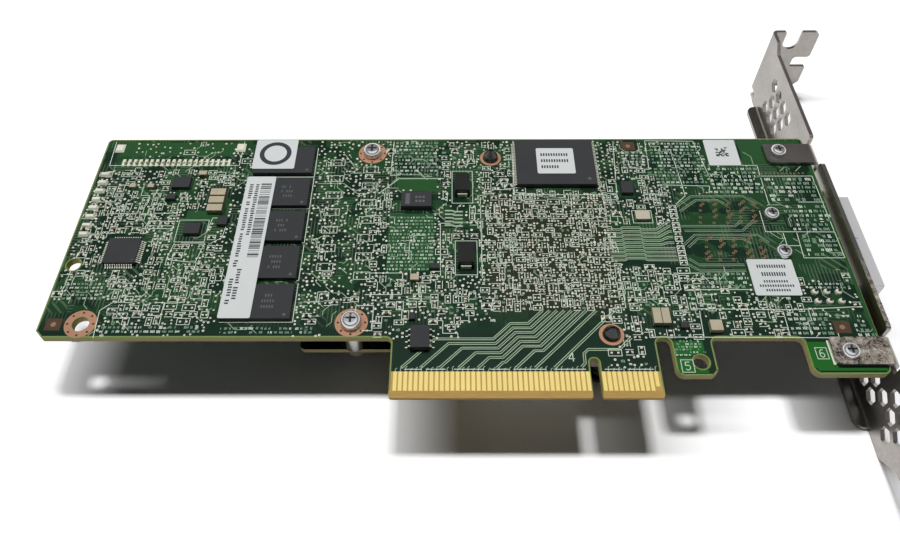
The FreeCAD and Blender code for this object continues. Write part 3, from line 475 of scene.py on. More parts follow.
def plain_finish(name, given, low, high, drift, grain, darker, bump=0.2, size=0.15):
    """Material of one tone with drift, grain and fine relief."""
    made = Finish(name, **CONSTANTS.get(name, {}))
    value = made.clouds(resolve(given), shade(resolve(given), darker), drift, grain)
    return made.gloss(value, low, high).relief(size, bump).material


def board_finish():
    """Green mask over copper on level faces, laminate on the cut edges and between the contacts."""
    made = Finish("board_mask", Coat_Weight=0.08, Coat_Roughness=0.15, Specular_IOR_Level=0.25)
    tree = made.tree
    buried = use(tree, "copper")
    bare = use(tree, "mottle", First=hue("mask"), Second=shade(hue("mask"), 0.72), Drift=14.0, Grain=0.6)
    at = add(tree, "SeparateXYZ", i0=place_mm(tree))
    along = maths(tree, "SUBTRACT", at.outputs["X"], KEY_X / MM)
    depth = maths(tree, "SUBTRACT", at.outputs["Y"], EDGE_Y / MM)
    beyond_tongue = spread(tree, depth, 14.0, 22.0)
    colour_here = blend(tree, times(tree, beyond_tongue, 0.8, buried.outputs["Pour"]), bare.outputs[0],
                        hue("mask_copper"))
    colour_here = blend(tree, times(tree, beyond_tongue, 0.16, buried.outputs["Traces"]), colour_here,
                        hue("mask_trace"))
    # olive cast under the processor, where vias stand closest
    crowded = times(tree, window(tree, along, -22.0, -18.0, 6.0, 9.0),
                    window(tree, depth, 17.0, 21.0, 49.0, 53.0), 0.85)
    colour_here = blend(tree, crowded, colour_here, tone(40, 43, 27))
    fibres = use(tree, "grain", Stretch=(0.35, 0.35, 9.0), Strength=0.25).outputs["Value"]
    cut = blend(tree, fibres, hue("laminate"), shade(hue("laminate"), 0.8))
    rim = spread(tree, at.outputs["Z"], FACE_Z / MM - 0.8, FACE_Z / MM - 0.4)
    sides = use(tree, "sides").outputs[0]
    colour_here = blend(tree, sides, colour_here, blend(tree, rim, cut, hue("rim")))
    tongue = times(tree, maths(tree, "LESS_THAN", depth, TONGUE_DEPTH),
                   maths(tree, "LESS_THAN", along, TONGUE_END))
    bare_edge = blend(tree, fibres, hue("tongue"), shade(hue("tongue"), 0.85))
    made.feed("Base Color", blend(tree, tongue, colour_here, bare_edge))
    made.feed("Roughness", spread(tree, maths(tree, "MAXIMUM", sides, tongue), 0, 1, 0.3, 0.6))
    return made.relief(0.5, 0.12).material


def metal_finish(name, given, low, high, stretch, strength=0.15, metallic=1.0, darker=0.8):
    """Rolled, brushed or plated metal."""
    made = Finish(name, Metallic=metallic)
    value = made.clouds(resolve(given), shade(resolve(given), darker), 9.0, 0.5, 0.3)
    grain = use(made.tree, "grain", Stretch=stretch, Strength=strength)
    made.gloss(times(made.tree, value, grain.outputs["Value"]), low, high)
    return made.feed("Normal", grain.outputs["Normal"]).material


def nickel_finish():
    """Bracket sheet: smooth and brownish at the far end, spangled on top of the near end."""
    made = Finish("bracket_nickel")
    tree = made.tree
    at = place_mm(tree)
    place = add(tree, "SeparateXYZ", i0=at).outputs
    level = maths(tree, "SUBTRACT", 1.0, use(tree, "sides").outputs[0])
    raised = maths(tree, "GREATER_THAN", place["Z"], FACE_Z / MM)
    near = times(tree, level, raised, spread(tree, place["Y"], -22.0, -12.0, 1.0, 0.0))
    flakes = add(tree, "TexVoronoi", i0=at, Scale=4.4).outputs["Color"]
    flakes = add(tree, "SeparateColor", i0=flakes).outputs[0]
    worn = spread(tree, add(tree, "TexNoise", i0=at, Scale=0.6, Detail=3.0).outputs[0], 0.35, 0.65)
    speck = between(tree, 0.5, flakes, worn)
    drift = use(tree, "mottle", First=hue("nickel"), Second=shade(hue("nickel"), 0.72), Drift=9.0, Grain=0.7)
    spangle = blend(tree, spread(tree, speck, 0.1, 0.9), tone(48, 41, 35), tone(216, 205, 190))
    made.feed("Base Color", blend(tree, near, drift.outputs[0], spangle))
    made.feed("Metallic", spread(tree, near, 0, 1, 1.0, 0.55))
    made.feed("Roughness", between(tree, near, 0.3, spread(tree, speck, 0, 1, 0.25, 0.45)))
    bump = add(tree, "Bump", Strength=spread(tree, near, 0, 1, 0.05, 0.2), Distance=4 * BUMP,
               Height=add(tree, "TexNoise", i0=at, Scale=1.4, Detail=4.0).outputs[0])
    return made.feed("Normal", bump.outputs[0]).material


def paper_finish():
    """Glossy white label stock."""
    made = Finish("label_paper", Coat_Weight=0.25, Coat_Roughness=0.3)
    value = made.clouds(hue("paper"), shade(hue("paper"), 0.93), 12.0, 0.4)
    return made.gloss(value, 0.35, 0.5).relief(0.6, 0.12).material


MATERIALS = {}


# metals: colour, roughness from and to, stretch and strength of the grain, metallic share, darkest shade
METALS = {
    "gold": ("gold", 0.28, 0.42, (4.0, 0.4, 4.0), 0.08, 0.2, 0.9),
    "copper": ("copper", 0.3, 0.45, (2.0, 2.0, 2.0), 0.1, 0.3),
    "screw_steel": ("steel", 0.12, 0.24, (3.0, 3.0, 3.0), 0.08, 0.85, 0.9),
    "cage_steel": ("steel", 0.3, 0.45, (4.0, 0.4, 4.0), 0.12, 0.5, 0.92),
    "lid_nickel": ("steel", 0.25, 0.4, (0.5, 4.0, 4.0)),
    "sink_aluminium": ("aluminium", 0.3, 0.5, (0.3, 5.0, 5.0), 0.25, 0.9),
    "can_aluminium": ("aluminium", 0.25, 0.4, (3.0, 3.0, 0.6)),
    # spring_steel is painted almost black, far darker than steel: painted shade, because the spring seen
    # through the key slot lies in shadow
    "spring_steel": ((34, 31, 28), 0.5, 0.65, (1.0, 1.0, 6.0), 0.1, 0.4),
    "standoff_brass": ((178, 176, 170), 0.15, 0.3, (1.0, 1.0, 6.0), 0.12),
    "crystal_can": ((204, 196, 176), 0.3, 0.4, (3.0, 3.0, 3.0), 0.05, 0.25, 0.94),
    "via_copper": ((152, 126, 96), 0.3, 0.45, (2.0, 2.0, 2.0), 0.1, 0.2),
    "lead_tin": ("solder", 0.25, 0.45, (3.0, 3.0, 3.0), 0.2, 0.15),
}
# the rest: colour, roughness from and to, size of drift and grain, darkest shade, strength and size of relief
PLAIN = {
    "chip_black": ("epoxy", 0.42, 0.6, 5.0, 0.12, 0.86, 0.35, 0.09),
    "housing_black": ("plastic", 0.35, 0.5, 5.0, 0.2, 0.8),
    "pin_black": ("plastic", 0.18, 0.3, 3.0, 0.2, 0.8, 0.05),
    "header_ivory": ((226, 216, 192), 0.35, 0.5, 6.0, 0.3, 0.9),
    "gasket_grey": ((98, 98, 96), 0.7, 0.9, 2.0, 0.25, 0.6, 0.6, 0.3),
    "pad_grey": ((150, 152, 156), 0.6, 0.8, 3.0, 0.3, 0.85, 0.3),
    "package_green": ((46, 84, 56), 0.35, 0.5, 4.0, 0.4, 0.8),
    "ceramic_tan": ("ceramic", 0.3, 0.45, 2.0, 0.2, 0.78),
    "inductor_grey": ((88, 90, 92), 0.5, 0.7, 3.0, 0.18, 0.75, 0.5, 0.2),
    "print_white": ("print_white", 0.45, 0.6, 3.0, 0.25, 0.85),
    "print_faint": ("print_faint", 0.45, 0.6, 3.0, 0.25, 0.8),
    "rim_green": (("rim", 0.5), 0.35, 0.5, 4.0, 0.4, 0.8, 0.1),
    "trace_green": ("mask_trace", 0.3, 0.4, 5.0, 0.4, 0.8, 0.1),
    "pour_green": ("pour", 0.28, 0.36, 9.0, 0.5, 0.8, 0.1),
    "edge_pour_green": ("edge_pour", 0.28, 0.36, 9.0, 0.5, 0.86, 0.1),
    # bare laminate round the alignment marks; the same dark brown is also painted shade inside the copper
    # vias' holes
    "bare_laminate": ((78, 58, 44), 0.5, 0.7, 2.0, 0.2, 0.7),
    # hole_dark: flat dark discs that stand for open holes and for the screws' cross recesses: painted shade
    "hole_dark": ((30, 28, 22), 0.5, 0.7, 2.0, 0.2, 0.7),
    "label_ink": ("ink", 0.5, 0.65, 4.0, 0.15, 0.85, 0.1),
    "chip_mark": ((92, 94, 96), 0.5, 0.65, 2.0, 0.15, 0.75, 0.1),
    "resistor_dark": ((36, 34, 34), 0.35, 0.5, 1.5, 0.2, 0.7),
    "capacitor_brown": ((118, 103, 84), 0.3, 0.45, 1.5, 0.2, 0.75),
}
CONSTANTS = {
    "chip_black": {"Specular_IOR_Level": 0.45}, "pin_black": {"Coat_Weight": 0.5, "Coat_Roughness": 0.1},
    "trace_green": {"Specular_IOR_Level": 0.3}, "pour_green": {"Specular_IOR_Level": 0.3},
    "edge_pour_green": {"Specular_IOR_Level": 0.25},
}


def make_materials():
    """One material for each of the record's slots, and those of the fine detail."""
    MATERIALS.update(board_mask=board_finish(), bracket_nickel=nickel_finish(), label_paper=paper_finish())
    for name, values in METALS.items():
        MATERIALS[name] = metal_finish(name, *values)
    for name, values in PLAIN.items():
        MATERIALS[name] = plain_finish(name, *values)


def finish_nodes():
    """Gives every CAD node the material of its slot."""
    slots = {part["node"]: part["material_slot"] for part in frame["record"]["subparts"]}
    slots["tantalum_capacitors"] = "housing_black"
    for name, node in frame["nodes"].items():
        node.data.materials.clear()
        node.data.materials.append(MATERIALS[slots[name]])


# ------------------------------------------------------------------ layout of the solder face
# outlines of the larger parts on the solder face: x from, x to, y from, y to; the first four are printed
CHIPS = [
    (-27.6, -22.9, 48.3, 58.2), (-26.9, -22.2, 28.3, 37.4), (12.6, 16.9, 42.4, 46.0),
    (-88.2, -81.6, 37.2, 43.4), (-103.0, -94.0, 29.9, 38.6), (-92.6, -87.5, 52.2, 56.4),
    (-39.7, -31.3, 45.5, 51.8), (-36.6, -31.2, 9.4, 15.7), (10.6, 14.2, 50.1, 54.7),
    (12.2, 16.6, 15.1, 19.9), (23.2, 26.7, 13.3, 17.2), (-83.1, -78.5, 44.8, 52.5)]
PRINTED_CHIPS = 4
MEMORY = [(-74.5, -59.7, y, y + 9.5) for y in (56.4, 46.7, 36.9, 26.8, 16.6)]
# quiet places without fine detail
QUIET = [
    (-87.4, -80.0, 43.0, 46.2), (-110.8, -104.0, 60.0, 68.9), (-112.0, -99.0, 11.0, 21.0),
    (-41.6, -31.4, 53.0, 56.6), (-37.5, -3.0, 5.4, 12.4), (-26.0, 1.0, 12.4, 16.0),
    (-12.0, 2.5, 15.9, 19.4), (9.0, 21.5, 31.0, 41.6), (24.0, 42.0, 29.0, 50.4), (40.0, 57.0, 0.0, 12.6),
    (37.5, 57.0, 60.2, 68.9), (14.5, 23.0, 0.0, 8.0), (-54.5, -50.4, 14.4, 20.4), (45.9, 52.5, 27.2, 32.4),
    (-1.5, 2.5, 5.4, 12.4), (-29.6, -24.8, 40.8, 46.6), (41.0, 46.0, 40.0, 47.0), (48.5, 52.1, 13.8, 17.0),
    (12.8, 16.4, 64.8, 68.0)]
# where fine detail goes: x from, x to, y from, y to, spacing factor, kind
FIELDS = [
    (-110.0, -77.2, 14.0, 58.6, 0.98, "mixed"), (-106.5, -79.0, 62.4, 67.6, 1.7, "vias"),
    (-79.8, -74.9, 16.0, 68.0, 1.5, "vias"), (-59.6, -43.0, 13.8, 68.0, 1.3, "vias"),
    (-45.0, -19.0, 12.6, 45.3, 1.02, "mixed"), (-43.0, -12.0, 45.3, 68.0, 1.06, "mixed"),
    (-20.5, 7.6, 19.2, 51.6, 0.78, "array"), (6.0, 22.4, 41.8, 68.0, 1.1, "mixed"),
    (-2.0, 22.0, 12.6, 32.0, 0.98, "mixed"), (1.5, 10.6, 6.0, 12.6, 1.3, "mixed"),
    (20.5, 55.5, 13.4, 28.4, 1.12, "mixed"), (20.0, 43.5, 50.6, 67.6, 1.6, "vias"),
    (-59.6, -50.6, 13.0, 24.0, 1.05, "mixed"), (-100.0, -77.2, 12.4, 17.0, 1.05, "mixed")]
# printed border lines between groups of parts
BORDERS = [
    [(-108.9, 68.1), (-108.5, 60.2), (-77.8, 60.2), (-77.8, 68.1)],
    [(-98.9, 12.9), (-99.4, 19.4), (-97.0, 21.6)], [(-104.4, 43.1), (-104.7, 45.3), (-96.0, 45.3)],
    [(-95.5, 41.0), (-89.2, 41.0), (-89.2, 45.4), (-94.6, 45.4), (-95.5, 41.0)],
    [(-88.0, 36.8), (-88.8, 32.4), (-82.4, 31.6), (-81.4, 36.9), (-86.6, 36.9)],
    [(-81.7, 38.6), (-81.0, 44.0), (-77.4, 44.0), (-77.9, 38.4), (-80.4, 36.6)],
    [(-45.6, 23.3), (-38.0, 23.3), (-38.0, 28.8), (-45.2, 28.8)], [(-41.9, 56.9), (-39.6, 57.0)],
    [(-41.9, 56.7), (-41.6, 68.0)], [(-29.6, 57.0), (-27.8, 56.0)],
    [(-30.0, 28.0), (-30.2, 42.4), (-27.9, 42.4)], [(-21.2, 27.4), (-21.2, 50.6)],
    [(11.2, 68.0), (10.4, 56.9), (9.9, 50.0)], [(18.9, 68.2), (30.5, 68.0)],
    [(18.9, 68.2), (18.5, 58.6), (14.0, 59.6)], [(30.5, 68.0), (32.0, 57.2), (34.6, 56.9)],
    [(24.6, 64.7), (25.3, 53.8), (25.4, 50.4), (22.9, 47.9)], [(19.8, 53.8), (31.6, 53.4), (31.0, 51.2)],
    [(44.0, 59.9), (43.8, 48.2)], [(38.4, 60.0), (44.0, 59.9)], [(43.9, 56.5), (55.9, 56.5), (56.2, 32.7)],
    [(41.2, 45.9), (41.1, 39.9), (56.2, 39.8)], [(47.8, 39.6), (47.5, 32.7), (56.1, 32.7)],
    [(44.8, 39.6), (44.8, 36.0), (47.6, 36.0)], [(50.6, 48.5), (56.4, 48.5)], [(21.0, 24.5), (34.5, 24.5)],
    [(19.0, 28.7), (24.6, 28.7), (27.0, 25.0)], [(20.9, 19.8), (41.5, 19.5), (55.8, 20.3)],
    [(22.6, 19.3), (22.3, 13.0)], [(39.5, 19.3), (39.4, 13.2)],
    [(10.6, 14.2), (12.2, 14.2), (12.2, 13.1), (49.0, 12.9)], [(49.0, 12.9), (49.0, 14.0)],
    *([(x0, 5.9), (x1, 5.9)] for x0, x1 in ((-36.8, -33.4), (-32.6, -28.8), (-27.2, -21.4), (-20.2, -16.6),
                                           (-15.8, -9.4), (-8.0, -1.8), (1.8, 5.2), (6.2, 11.2))),
    [(-47.2, 14.6), (-43.6, 14.6), (-43.6, 20.6), (-47.2, 20.6), (-47.2, 14.6)],
    [(-18.4, 52.4), (-14.6, 52.4)], [(-12.9, 68.2), (-13.6, 50.8), (7.8, 50.8)],
    [(5.4, 30.6), (7.6, 30.6), (7.8, 20.0), (5.2, 20.0)], [(1.0, 46.6), (6.8, 46.6), (6.8, 50.6)]]
# pairs of traces that run from the middle of the board to the cable connector
LOOPS = [
    [(22.6, 47.0), (26.7, 50.3), (38.5, 50.3), (40.9, 47.9)],
    [(23.4, 45.8), (27.6, 49.1), (32.5, 49.1), (33.8, 48.1)], [(22.8, 41.5), (34.8, 41.5), (36.6, 43.2)],
    [(23.4, 40.2), (36.1, 40.2), (39.6, 43.4)], [(22.5, 36.2), (25.4, 39.0), (39.2, 39.0), (41.1, 36.8)],
    [(23.4, 35.6), (25.9, 38.0), (35.6, 38.0), (37.2, 36.6)], [(22.9, 32.6), (24.8, 30.9), (34.4, 30.9)],
    [(22.6, 31.0), (24.8, 29.3), (34.4, 29.3)]]
# wide pours: x from, x to, y from, y to; those at the connector's edge are a little darker
POURS = [
    (38.0, 55.9, 60.6, 68.2), (41.0, 56.2, 5.6, 12.0), (13.8, 21.8, 3.4, 8.6), (13.8, 21.8, 9.0, 12.2),
    (-41.6, -31.4, 29.4, 45.2), (-87.0, -79.8, 42.9, 46.2), (-40.4, -31.0, 52.0, 56.4),
    (55.9, 56.7, 13.0, 60.0), (-107.0, -79.6, 63.2, 67.9)]
TILE = 0.6                             # side of a pour's tiles
LOOSE_TRACES, BACK_TRACES = 620, 260   # places tried for traces that stand alone
# rows of short marks: x from, x to, y from, y to, row spacing, height of a mark
ROWS = [
    (44.6, 55.2, 49.2, 56.0, 1.25, 0.95), (45.6, 55.6, 40.6, 47.8, 1.3, 0.95),
    (48.6, 55.4, 33.6, 39.0, 1.25, 0.95), (32.2, 43.2, 51.6, 59.2, 1.2, 0.9),
    (19.6, 31.4, 54.6, 67.6, 1.05, 0.75), (24.4, 33.6, 25.2, 28.6, 1.1, 0.8),
    (46.4, 54.8, 25.0, 27.0, 0.9, 0.6), (14.0, 21.6, 8.4, 12.2, 0.62, 0.5),
    (-41.2, -31.2, 57.2, 67.6, 1.15, 0.75), (-41.4, -31.6, 29.8, 44.8, 0.95, 0.6),
    (12.6, 17.6, 60.2, 67.4, 1.0, 0.75), (40.0, 48.0, 14.0, 18.8, 1.1, 0.8),
    (-108.0, -100.6, 22.4, 26.6, 0.9, 0.6), (-99.0, -78.0, 13.4, 15.6, 1.0, 0.7),
    (-74.0, -46.0, 13.3, 15.2, 0.9, 0.65), (46.0, 55.8, 13.6, 19.0, 1.1, 0.8)]
# kinds of field: share of part places that are filled, jitter, share of via places that are filled
KINDS = {"mixed": (0.9, 0.3, 0.62), "vias": (0.12, 0.3, 0.6), "array": (0.74, 0.14, 0.64)}
PARTS, PARTS_AND_OUTLINES = 0.46, 0.74   # shares of the parts, the rest being short marks
RINGS = [(-102.4, 16.2, 2.65), (-46.5, 64.1, 2.85), (-47.8, 16.5, 2.75)]     # bare copper: x, y, radius
FRONT_TRACE, FRONT_POUR, PAD, PRINT = 0.018, 0.008, 0.03, 0.045              # lifts above the mask
HOLE = PAD - 0.006                     # just under the ring round it


def pair(pile, places, gap, width, lift):
    """Two traces side by side along a run of places."""
    for side in (-1, 1):
        shifted = []
        for k, (x, y) in enumerate(places):
            before = places[max(k - 1, 0)]
            after = places[min(k + 1, len(places) - 1)]
            dx, dy = after[0] - before[0], after[1] - before[1]
            run = math.hypot(dx, dy)
            shifted.append((x - dy / run * side * gap / 2, y + dx / run * side * gap / 2))
        pile.path(shifted, width, lift)


def contact_runs():
    """Nested pairs that climb in steps from the edge contacts to the middle of the board."""
    runs, foot, top = [], 6.2, 19.4
    steps = [(-29.1, 12.7), (-19.4, 12.7), (-15.8, 16.3), (-12.3, 16.3)]
    for k in range(9):
        x = -37.4 + 3.7 * k
        places = [(x, foot)]
        nested = [(px + 0.43 * k, py - 1.05 * k) for px, py in steps]
        for i in (0, 2):
            level, end = nested[i][1], nested[i + 1][0]
            if level > places[-1][1] and places[-1][0] + level - places[-1][1] < end:
                places += [(places[-1][0] + level - places[-1][1], level), (end, level)]
        places.append((places[-1][0] + top - places[-1][1], top))
        runs.append(places)
    runs.append([(-2.6, 6.4), (-1.8, 7.2), (-1.8, 9.4), (-0.9, 10.3), (5.2, 10.3), (7.9, 13.0)])
    return runs


def crossing_runs():
    """Pairs across the board between its middle and the cable connector."""
    runs = []
    for k in range(9):
        y = 32.2 + 1.05 * k
        rise = 0.5 * max(0, k - 3)
        runs.append([(6.4, y), (9.4, y), (9.9, y + 0.5), (13.6, y + 0.5), (14.1, y), (18.0 - 0.3 * rise, y),
                     (18.9 + 0.7 * rise, y + rise), (20.6, y + rise)])
    return runs


# ------------------------------------------------------------------ traces and pours
def contact_stubs(pile, width):
    """Short stubs above the edge contacts, none at the key slot."""
    low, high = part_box("edge_contacts_front")
    first, last = (low.x - KEY_X) / MM + 0.35, (high.x - KEY_X) / MM
    for k in range(int(last - first) + 1):
        x, step = first + k, 0.2 * (k % 3)
        if abs(x) > 1.6:
            pile.path([(x, 5.5), (x, 5.9 + step), (x + 0.3, 6.2 + step)], width * 0.8, FRONT_POUR + 0.005)


def loose_traces(pile, room, rng, width):
    """Short bent traces between the parts, away from the bundles."""
    for _ in range(LOOSE_TRACES):
        x, y = rng.uniform(LEFT + 2, 54.0), rng.uniform(13.5, 67.5)
        if (8.0 < x < 43.0 and 28.0 < y < 51.0) or (-42.0 < x < 10.0 and y < 22.0):
            continue
        turn = rng.randrange(8) * math.pi / 4
        places = [(x, y)]
        for _ in range(rng.randint(1, 3)):
            run = rng.uniform(0.7, 2.6)
            x, y = x + run * math.cos(turn), y + run * math.sin(turn)
            places.append((x, y))
            turn += rng.choice((-1, 1)) * math.pi / 4
        if all(room.clear(px, py, 0.3, 0.3) for px, py in places):
            pile.path(places, width * rng.uniform(0.6, 1.0),
                      rng.uniform(FRONT_POUR + 0.002, FRONT_TRACE - 0.002))


def make_pours(room):
    """Pours as small tiles, left out where anything stands on the board."""
    pours, edge_pours = Pile(), Pile()
    for x0, x1, y0, y1 in POURS:
        across, down = math.ceil((x1 - x0) / TILE), math.ceil((y1 - y0) / TILE)
        for i in range(across):
            for j in range(down):
                left, low = x0 + (x1 - x0) * i / across, y0 + (y1 - y0) * j / down
                right, high = left + (x1 - x0) / across, low + (y1 - y0) / down
                if all(room.bare(x, y) for x in (left, right) for y in (low, high)):
                    (edge_pours if y1 < 12.5 else pours).rect(left, right, low, high, FRONT_POUR)
    pours.piece("copper_pours", "pour_green", "board_mask")
    edge_pours.piece("edge_pours", "edge_pour_green", "board_mask")


def make_traces():
    """Traces and copper pours that show through the mask of the solder face."""
    s = sizes()
    width, gap = s.trace / MM, s.pair_gap / MM
    pile = Pile()
    for places in contact_runs() + crossing_runs():
        pair(pile, places, gap, width, FRONT_TRACE)
    for places in LOOPS:
        pair(pile, places, gap, width * 0.55, FRONT_TRACE)
    contact_stubs(pile, width)
    for k in range(5):                                    # feeds of the chip left of the middle
        y = 46.1 - 1.05 * k
        pile.path([(-29.2, y), (-27.6, y), (-27.0, y - 0.3), (-25.2, y - 0.3)], 0.42, FRONT_TRACE)
    for x, y, reach in ((-58.6, 54.4, 15.0), (-58.8, 46.8, 3.4), (-58.9, 38.0, 3.8)):    # beside the memory
        pile.path([(x, y), (x + 0.4 * reach, y), (x + 0.62 * reach, y - 3.1), (x + 0.8 * reach, y - 3.1),
                   (x + reach, y + 1.2)], 0.16, FRONT_TRACE)
    pile.path([(-53.0, 63.6), (-49.8, 58.4)], 0.16, FRONT_TRACE)
    pile.path([(-44.0, 51.6), (-39.9, 55.9), (-29.5, 55.9)], 0.3, FRONT_TRACE)
    room = Room()
    loose_traces(pile, room, random.Random(s.seed), width)
    pile.piece("signal_traces", "trace_green", "board_mask")
    make_pours(room)
    make_rim()


def make_rim():
    """Pale line on the solder face beside every cut edge, where the mask thins out."""
    board = frame["nodes"]["main_board"]
    spots = [board.matrix_world @ corner.co for corner in board.data.vertices]
    wide = sizes().rim
    pile = Pile()
    for face in board.data.polygons:
        outward = board.matrix_world.to_3x3() @ face.normal
        if abs(outward.z) > 0.1:
            continue
        ids = list(face.vertices)
        for first, second in zip(ids, ids[1:] + ids[:1]):
            p, q = spots[first], spots[second]
            if min(p.z, q.z) < FACE_Z - 0.01 * MM or (p - q).length < 0.01 * MM:
                continue
            corners = [(v - shift * outward * wide) for v, shift in ((q, 0), (p, 0), (p, 1), (q, 1))]
            pile.polygon([((v.x - KEY_X) / MM, (v.y - EDGE_Y) / MM) for v in corners], 0.004)
    pile.piece("board_rim", "rim_green", "board_mask")


# ------------------------------------------------------------------ small parts and print
def turned(long, wide, upright):
    """Two measures, changed over when the part stands upright."""
    return (wide, long) if upright else (long, wide)


class Detail:
    """Piles of the fine detail of one face, with the ways to place each kind."""

    def __init__(self, room, seed, back=False):
        self.room = room
        self.rng = random.Random(seed)
        self.solder, self.holes, self.print = Pile(back), Pile(back), Pile(back)
        self.dark, self.brown, self.tips, self.faint = Pile(back), Pile(back), Pile(back), Pile(back)
        s = sizes()
        self.via, self.hole, self.pad = s.via / MM / 2, s.via_hole / MM / 2, s.test_pad / MM / 2
        self.line = s.print_line / MM
        self.long, self.wide, self.tall = s.part_length / MM, s.part_width / MM, s.part_height / MM

    def add_via(self, x, y, factor):
        r = self.via * factor
        if not self.room.take(x, y, 2 * r, 2 * r):
            return
        self.solder.ring(x, y, r, self.hole * factor, PAD, 8)
        # the open hole is drawn as a flat dark disc: painted shade
        self.holes.disc(x, y, self.hole * factor, HOLE, 6)

    def add_pad(self, x, y):
        r = self.pad * self.rng.uniform(0.75, 1.0)
        if self.room.take(x, y, 2 * r, 2 * r):
            self.solder.dome(x, y, r, 0.0, 0.09)

    def add_part(self, x, y, upright, factor, ringed=True):
        """Two-terminal part with solder ends and a printed outline."""
        long, wide = self.long * factor, self.wide * factor
        dx, dy = turned(long, wide, upright)
        if not self.room.take(x, y, dx + 0.5, dy + 0.5):
            return
        ex, ey = turned(long * 0.39, 0.0, upright)        # middle of an end
        body = self.dark if self.rng.random() < 0.66 else self.brown
        tall = self.tall * (0.85 if body is self.dark else 1.15) * factor
        body.block(x, y, dx - 4 * ex * 0.36, dy - 4 * ey * 0.36, 0.0, tall, 0.03)
        for sign in (-1, 1):
            tx, ty = x + sign * ex, y + sign * ey
            self.tips.block(tx, ty, *turned(long * 0.26, wide, upright), 0.0, tall + 0.01, 0.04)
            self.solder.block(tx + sign * ex * 0.45, ty + sign * ey * 0.45, *turned(0.45, wide, upright),
                              0.0, 0.12, 0.08)
        if ringed:
            self.brackets(x, y, dx + 0.75, dy + 0.75)

    def brackets(self, x, y, dx, dy):
        """Printed outline, whole or open on two sides."""
        if self.rng.random() < 0.45:
            self.print.outline(x, y, dx, dy, self.line, PRINT)
            return
        a, b = dx / 2, dy / 2
        for sign in (-1, 1):
            ends = ((-a, sign * b), (a, sign * b)) if dx > dy else ((sign * a, -b), (sign * a, b))
            self.print.bar(*((x + i, y + j) for i, j in ends), self.line, PRINT)

    def add_outline(self, x, y):
        """Printed outline of an empty place with its two pads."""
        dx, dy = self.rng.choice(((1.9, 1.1), (1.1, 1.9), (1.5, 1.5), (2.6, 1.5)))
        if not self.room.take(x, y, dx, dy):
            return
        self.print.outline(x, y, dx, dy, self.line, PRINT)
        for sign in (-1, 1):
            px, py = (x + sign * dx * 0.25, y) if dx >= dy else (x, y + sign * dy * 0.25)
            self.solder.block(px, py, 0.42, 0.42, 0.0, 0.07, 0.06)

    def add_ticks(self, x, y, count, high, upright, faint):
        """Row of short printed bars, which stand for a reference mark."""
        step, half = 0.36 * high, 0.11 * high
        long = count * step
        if not self.room.take(x, y, *turned(long, high, upright)):
            return
        pile = self.faint if faint else self.print
        for k in range(count):
            if self.rng.random() < 0.08:
                continue
            place = (k + 0.5) * step - long / 2
            low, top = (side * high / 2 * self.rng.uniform(0.6, 1) for side in (-1, 1))
            if upright:
                pile.rect(x + low, x + top, y + place - half, y + place + half, PRINT)
            else:
                pile.rect(x + place - half, x + place + half, y + low, y + top, PRINT)

    def add_steps(self, x, y):
        """Printed line that steps between parts."""
        places, turn = [(x, y)], self.rng.randrange(4)
        for _ in range(self.rng.randint(2, 5)):
            run = self.rng.uniform(0.8, 3.2)
            x, y = x + run * (1, 0, -1, 0)[turn], y + run * (0, 1, 0, -1)[turn]
            places.append((x, y))
            turn = (turn + self.rng.choice((1, 3))) % 4
        if all(self.room.clear(px, py, 0.5, 0.5) and not self.room.cells(px, py, 0.5, 0.5) & self.room.quiet
               for px, py in places):
            self.print.path(places, self.line, PRINT)

    def add_rows(self, x0, x1, y0, y1, step, high):
        """Rows of short marks over a rectangle."""
        y = y0
        while y < y1:
            x = x0
            while x < x1:
                count = self.rng.randint(2, 4)
                if self.rng.random() < 0.9:
                    self.add_ticks(x + count * 0.18 * high, y, count, high * self.rng.uniform(0.85, 1.05),
                                   self.rng.random() < 0.15, self.rng.random() < 0.55)
                x += (count + 0.7) * 0.36 * high + 0.12
            y += step

    def places(self, x0, x1, y0, y1, step, jitter):
        """Loosely gridded places over a rectangle."""
        for j in range(int((y1 - y0) / step) + 1):
            for i in range(int((x1 - x0) / step) + 1):
                x = x0 + (i + 0.5 + self.rng.uniform(-jitter, jitter)) * step
                y = y0 + (j + 0.5 + self.rng.uniform(-jitter, jitter)) * step
                if x < x1 and y < y1:
                    yield x, y

    def fill(self, x0, x1, y0, y1, factor, kind):
        """Spreads small parts and print over a rectangle, then vias between them."""
        s = sizes()
        share, jitter, vias = KINDS[kind]
        for x, y in self.places(x0, x1, y0, y1, s.part_spacing / MM * factor, jitter):
            draw, upright = self.rng.random(), self.rng.random() < 0.5
            if draw > share:
                continue
            pick = self.rng.random()
            if pick < PARTS:
                scales = (0.65, 0.75, 0.85) if kind == "array" else (0.8, 0.9, 1.0, 1.3)
                self.add_part(x, y, upright, self.rng.choice(scales))
            elif pick < PARTS_AND_OUTLINES:
                self.add_outline(x, y)
            else:
                self.add_ticks(x, y, self.rng.randint(2, 4), self.rng.uniform(0.55, 0.8), upright,
                               self.rng.random() < 0.5)
            if self.rng.random() < 0.1 and kind != "vias":
                self.add_steps(x, y)
        for x, y in self.places(x0, x1, y0, y1, s.spacing / MM * factor, 0.06 if kind == "array" else 0.32):
            draw = self.rng.random()
            if draw < vias:
                self.add_via(x, y, self.rng.uniform(0.75, 1.1))
            elif draw < vias + 0.05:
                self.add_pad(x, y)

    def pieces(self, prefix):
        self.solder.piece(prefix + "solder_pads", "lead_tin", "lead_tin")
        self.holes.piece(prefix + "via_holes", "hole_dark", "board_mask")
        self.print.piece(prefix + "component_print", "print_white", "label_paper")
        self.faint.piece(prefix + "faint_print", "print_faint", "label_paper")
        self.dark.piece(prefix + "resistors", "resistor_dark", "chip_black")
        self.brown.piece(prefix + "small_capacitors", "capacitor_brown", "ceramic_tan")
        self.tips.piece(prefix + "part_terminals", "lead_tin", "lead_tin")


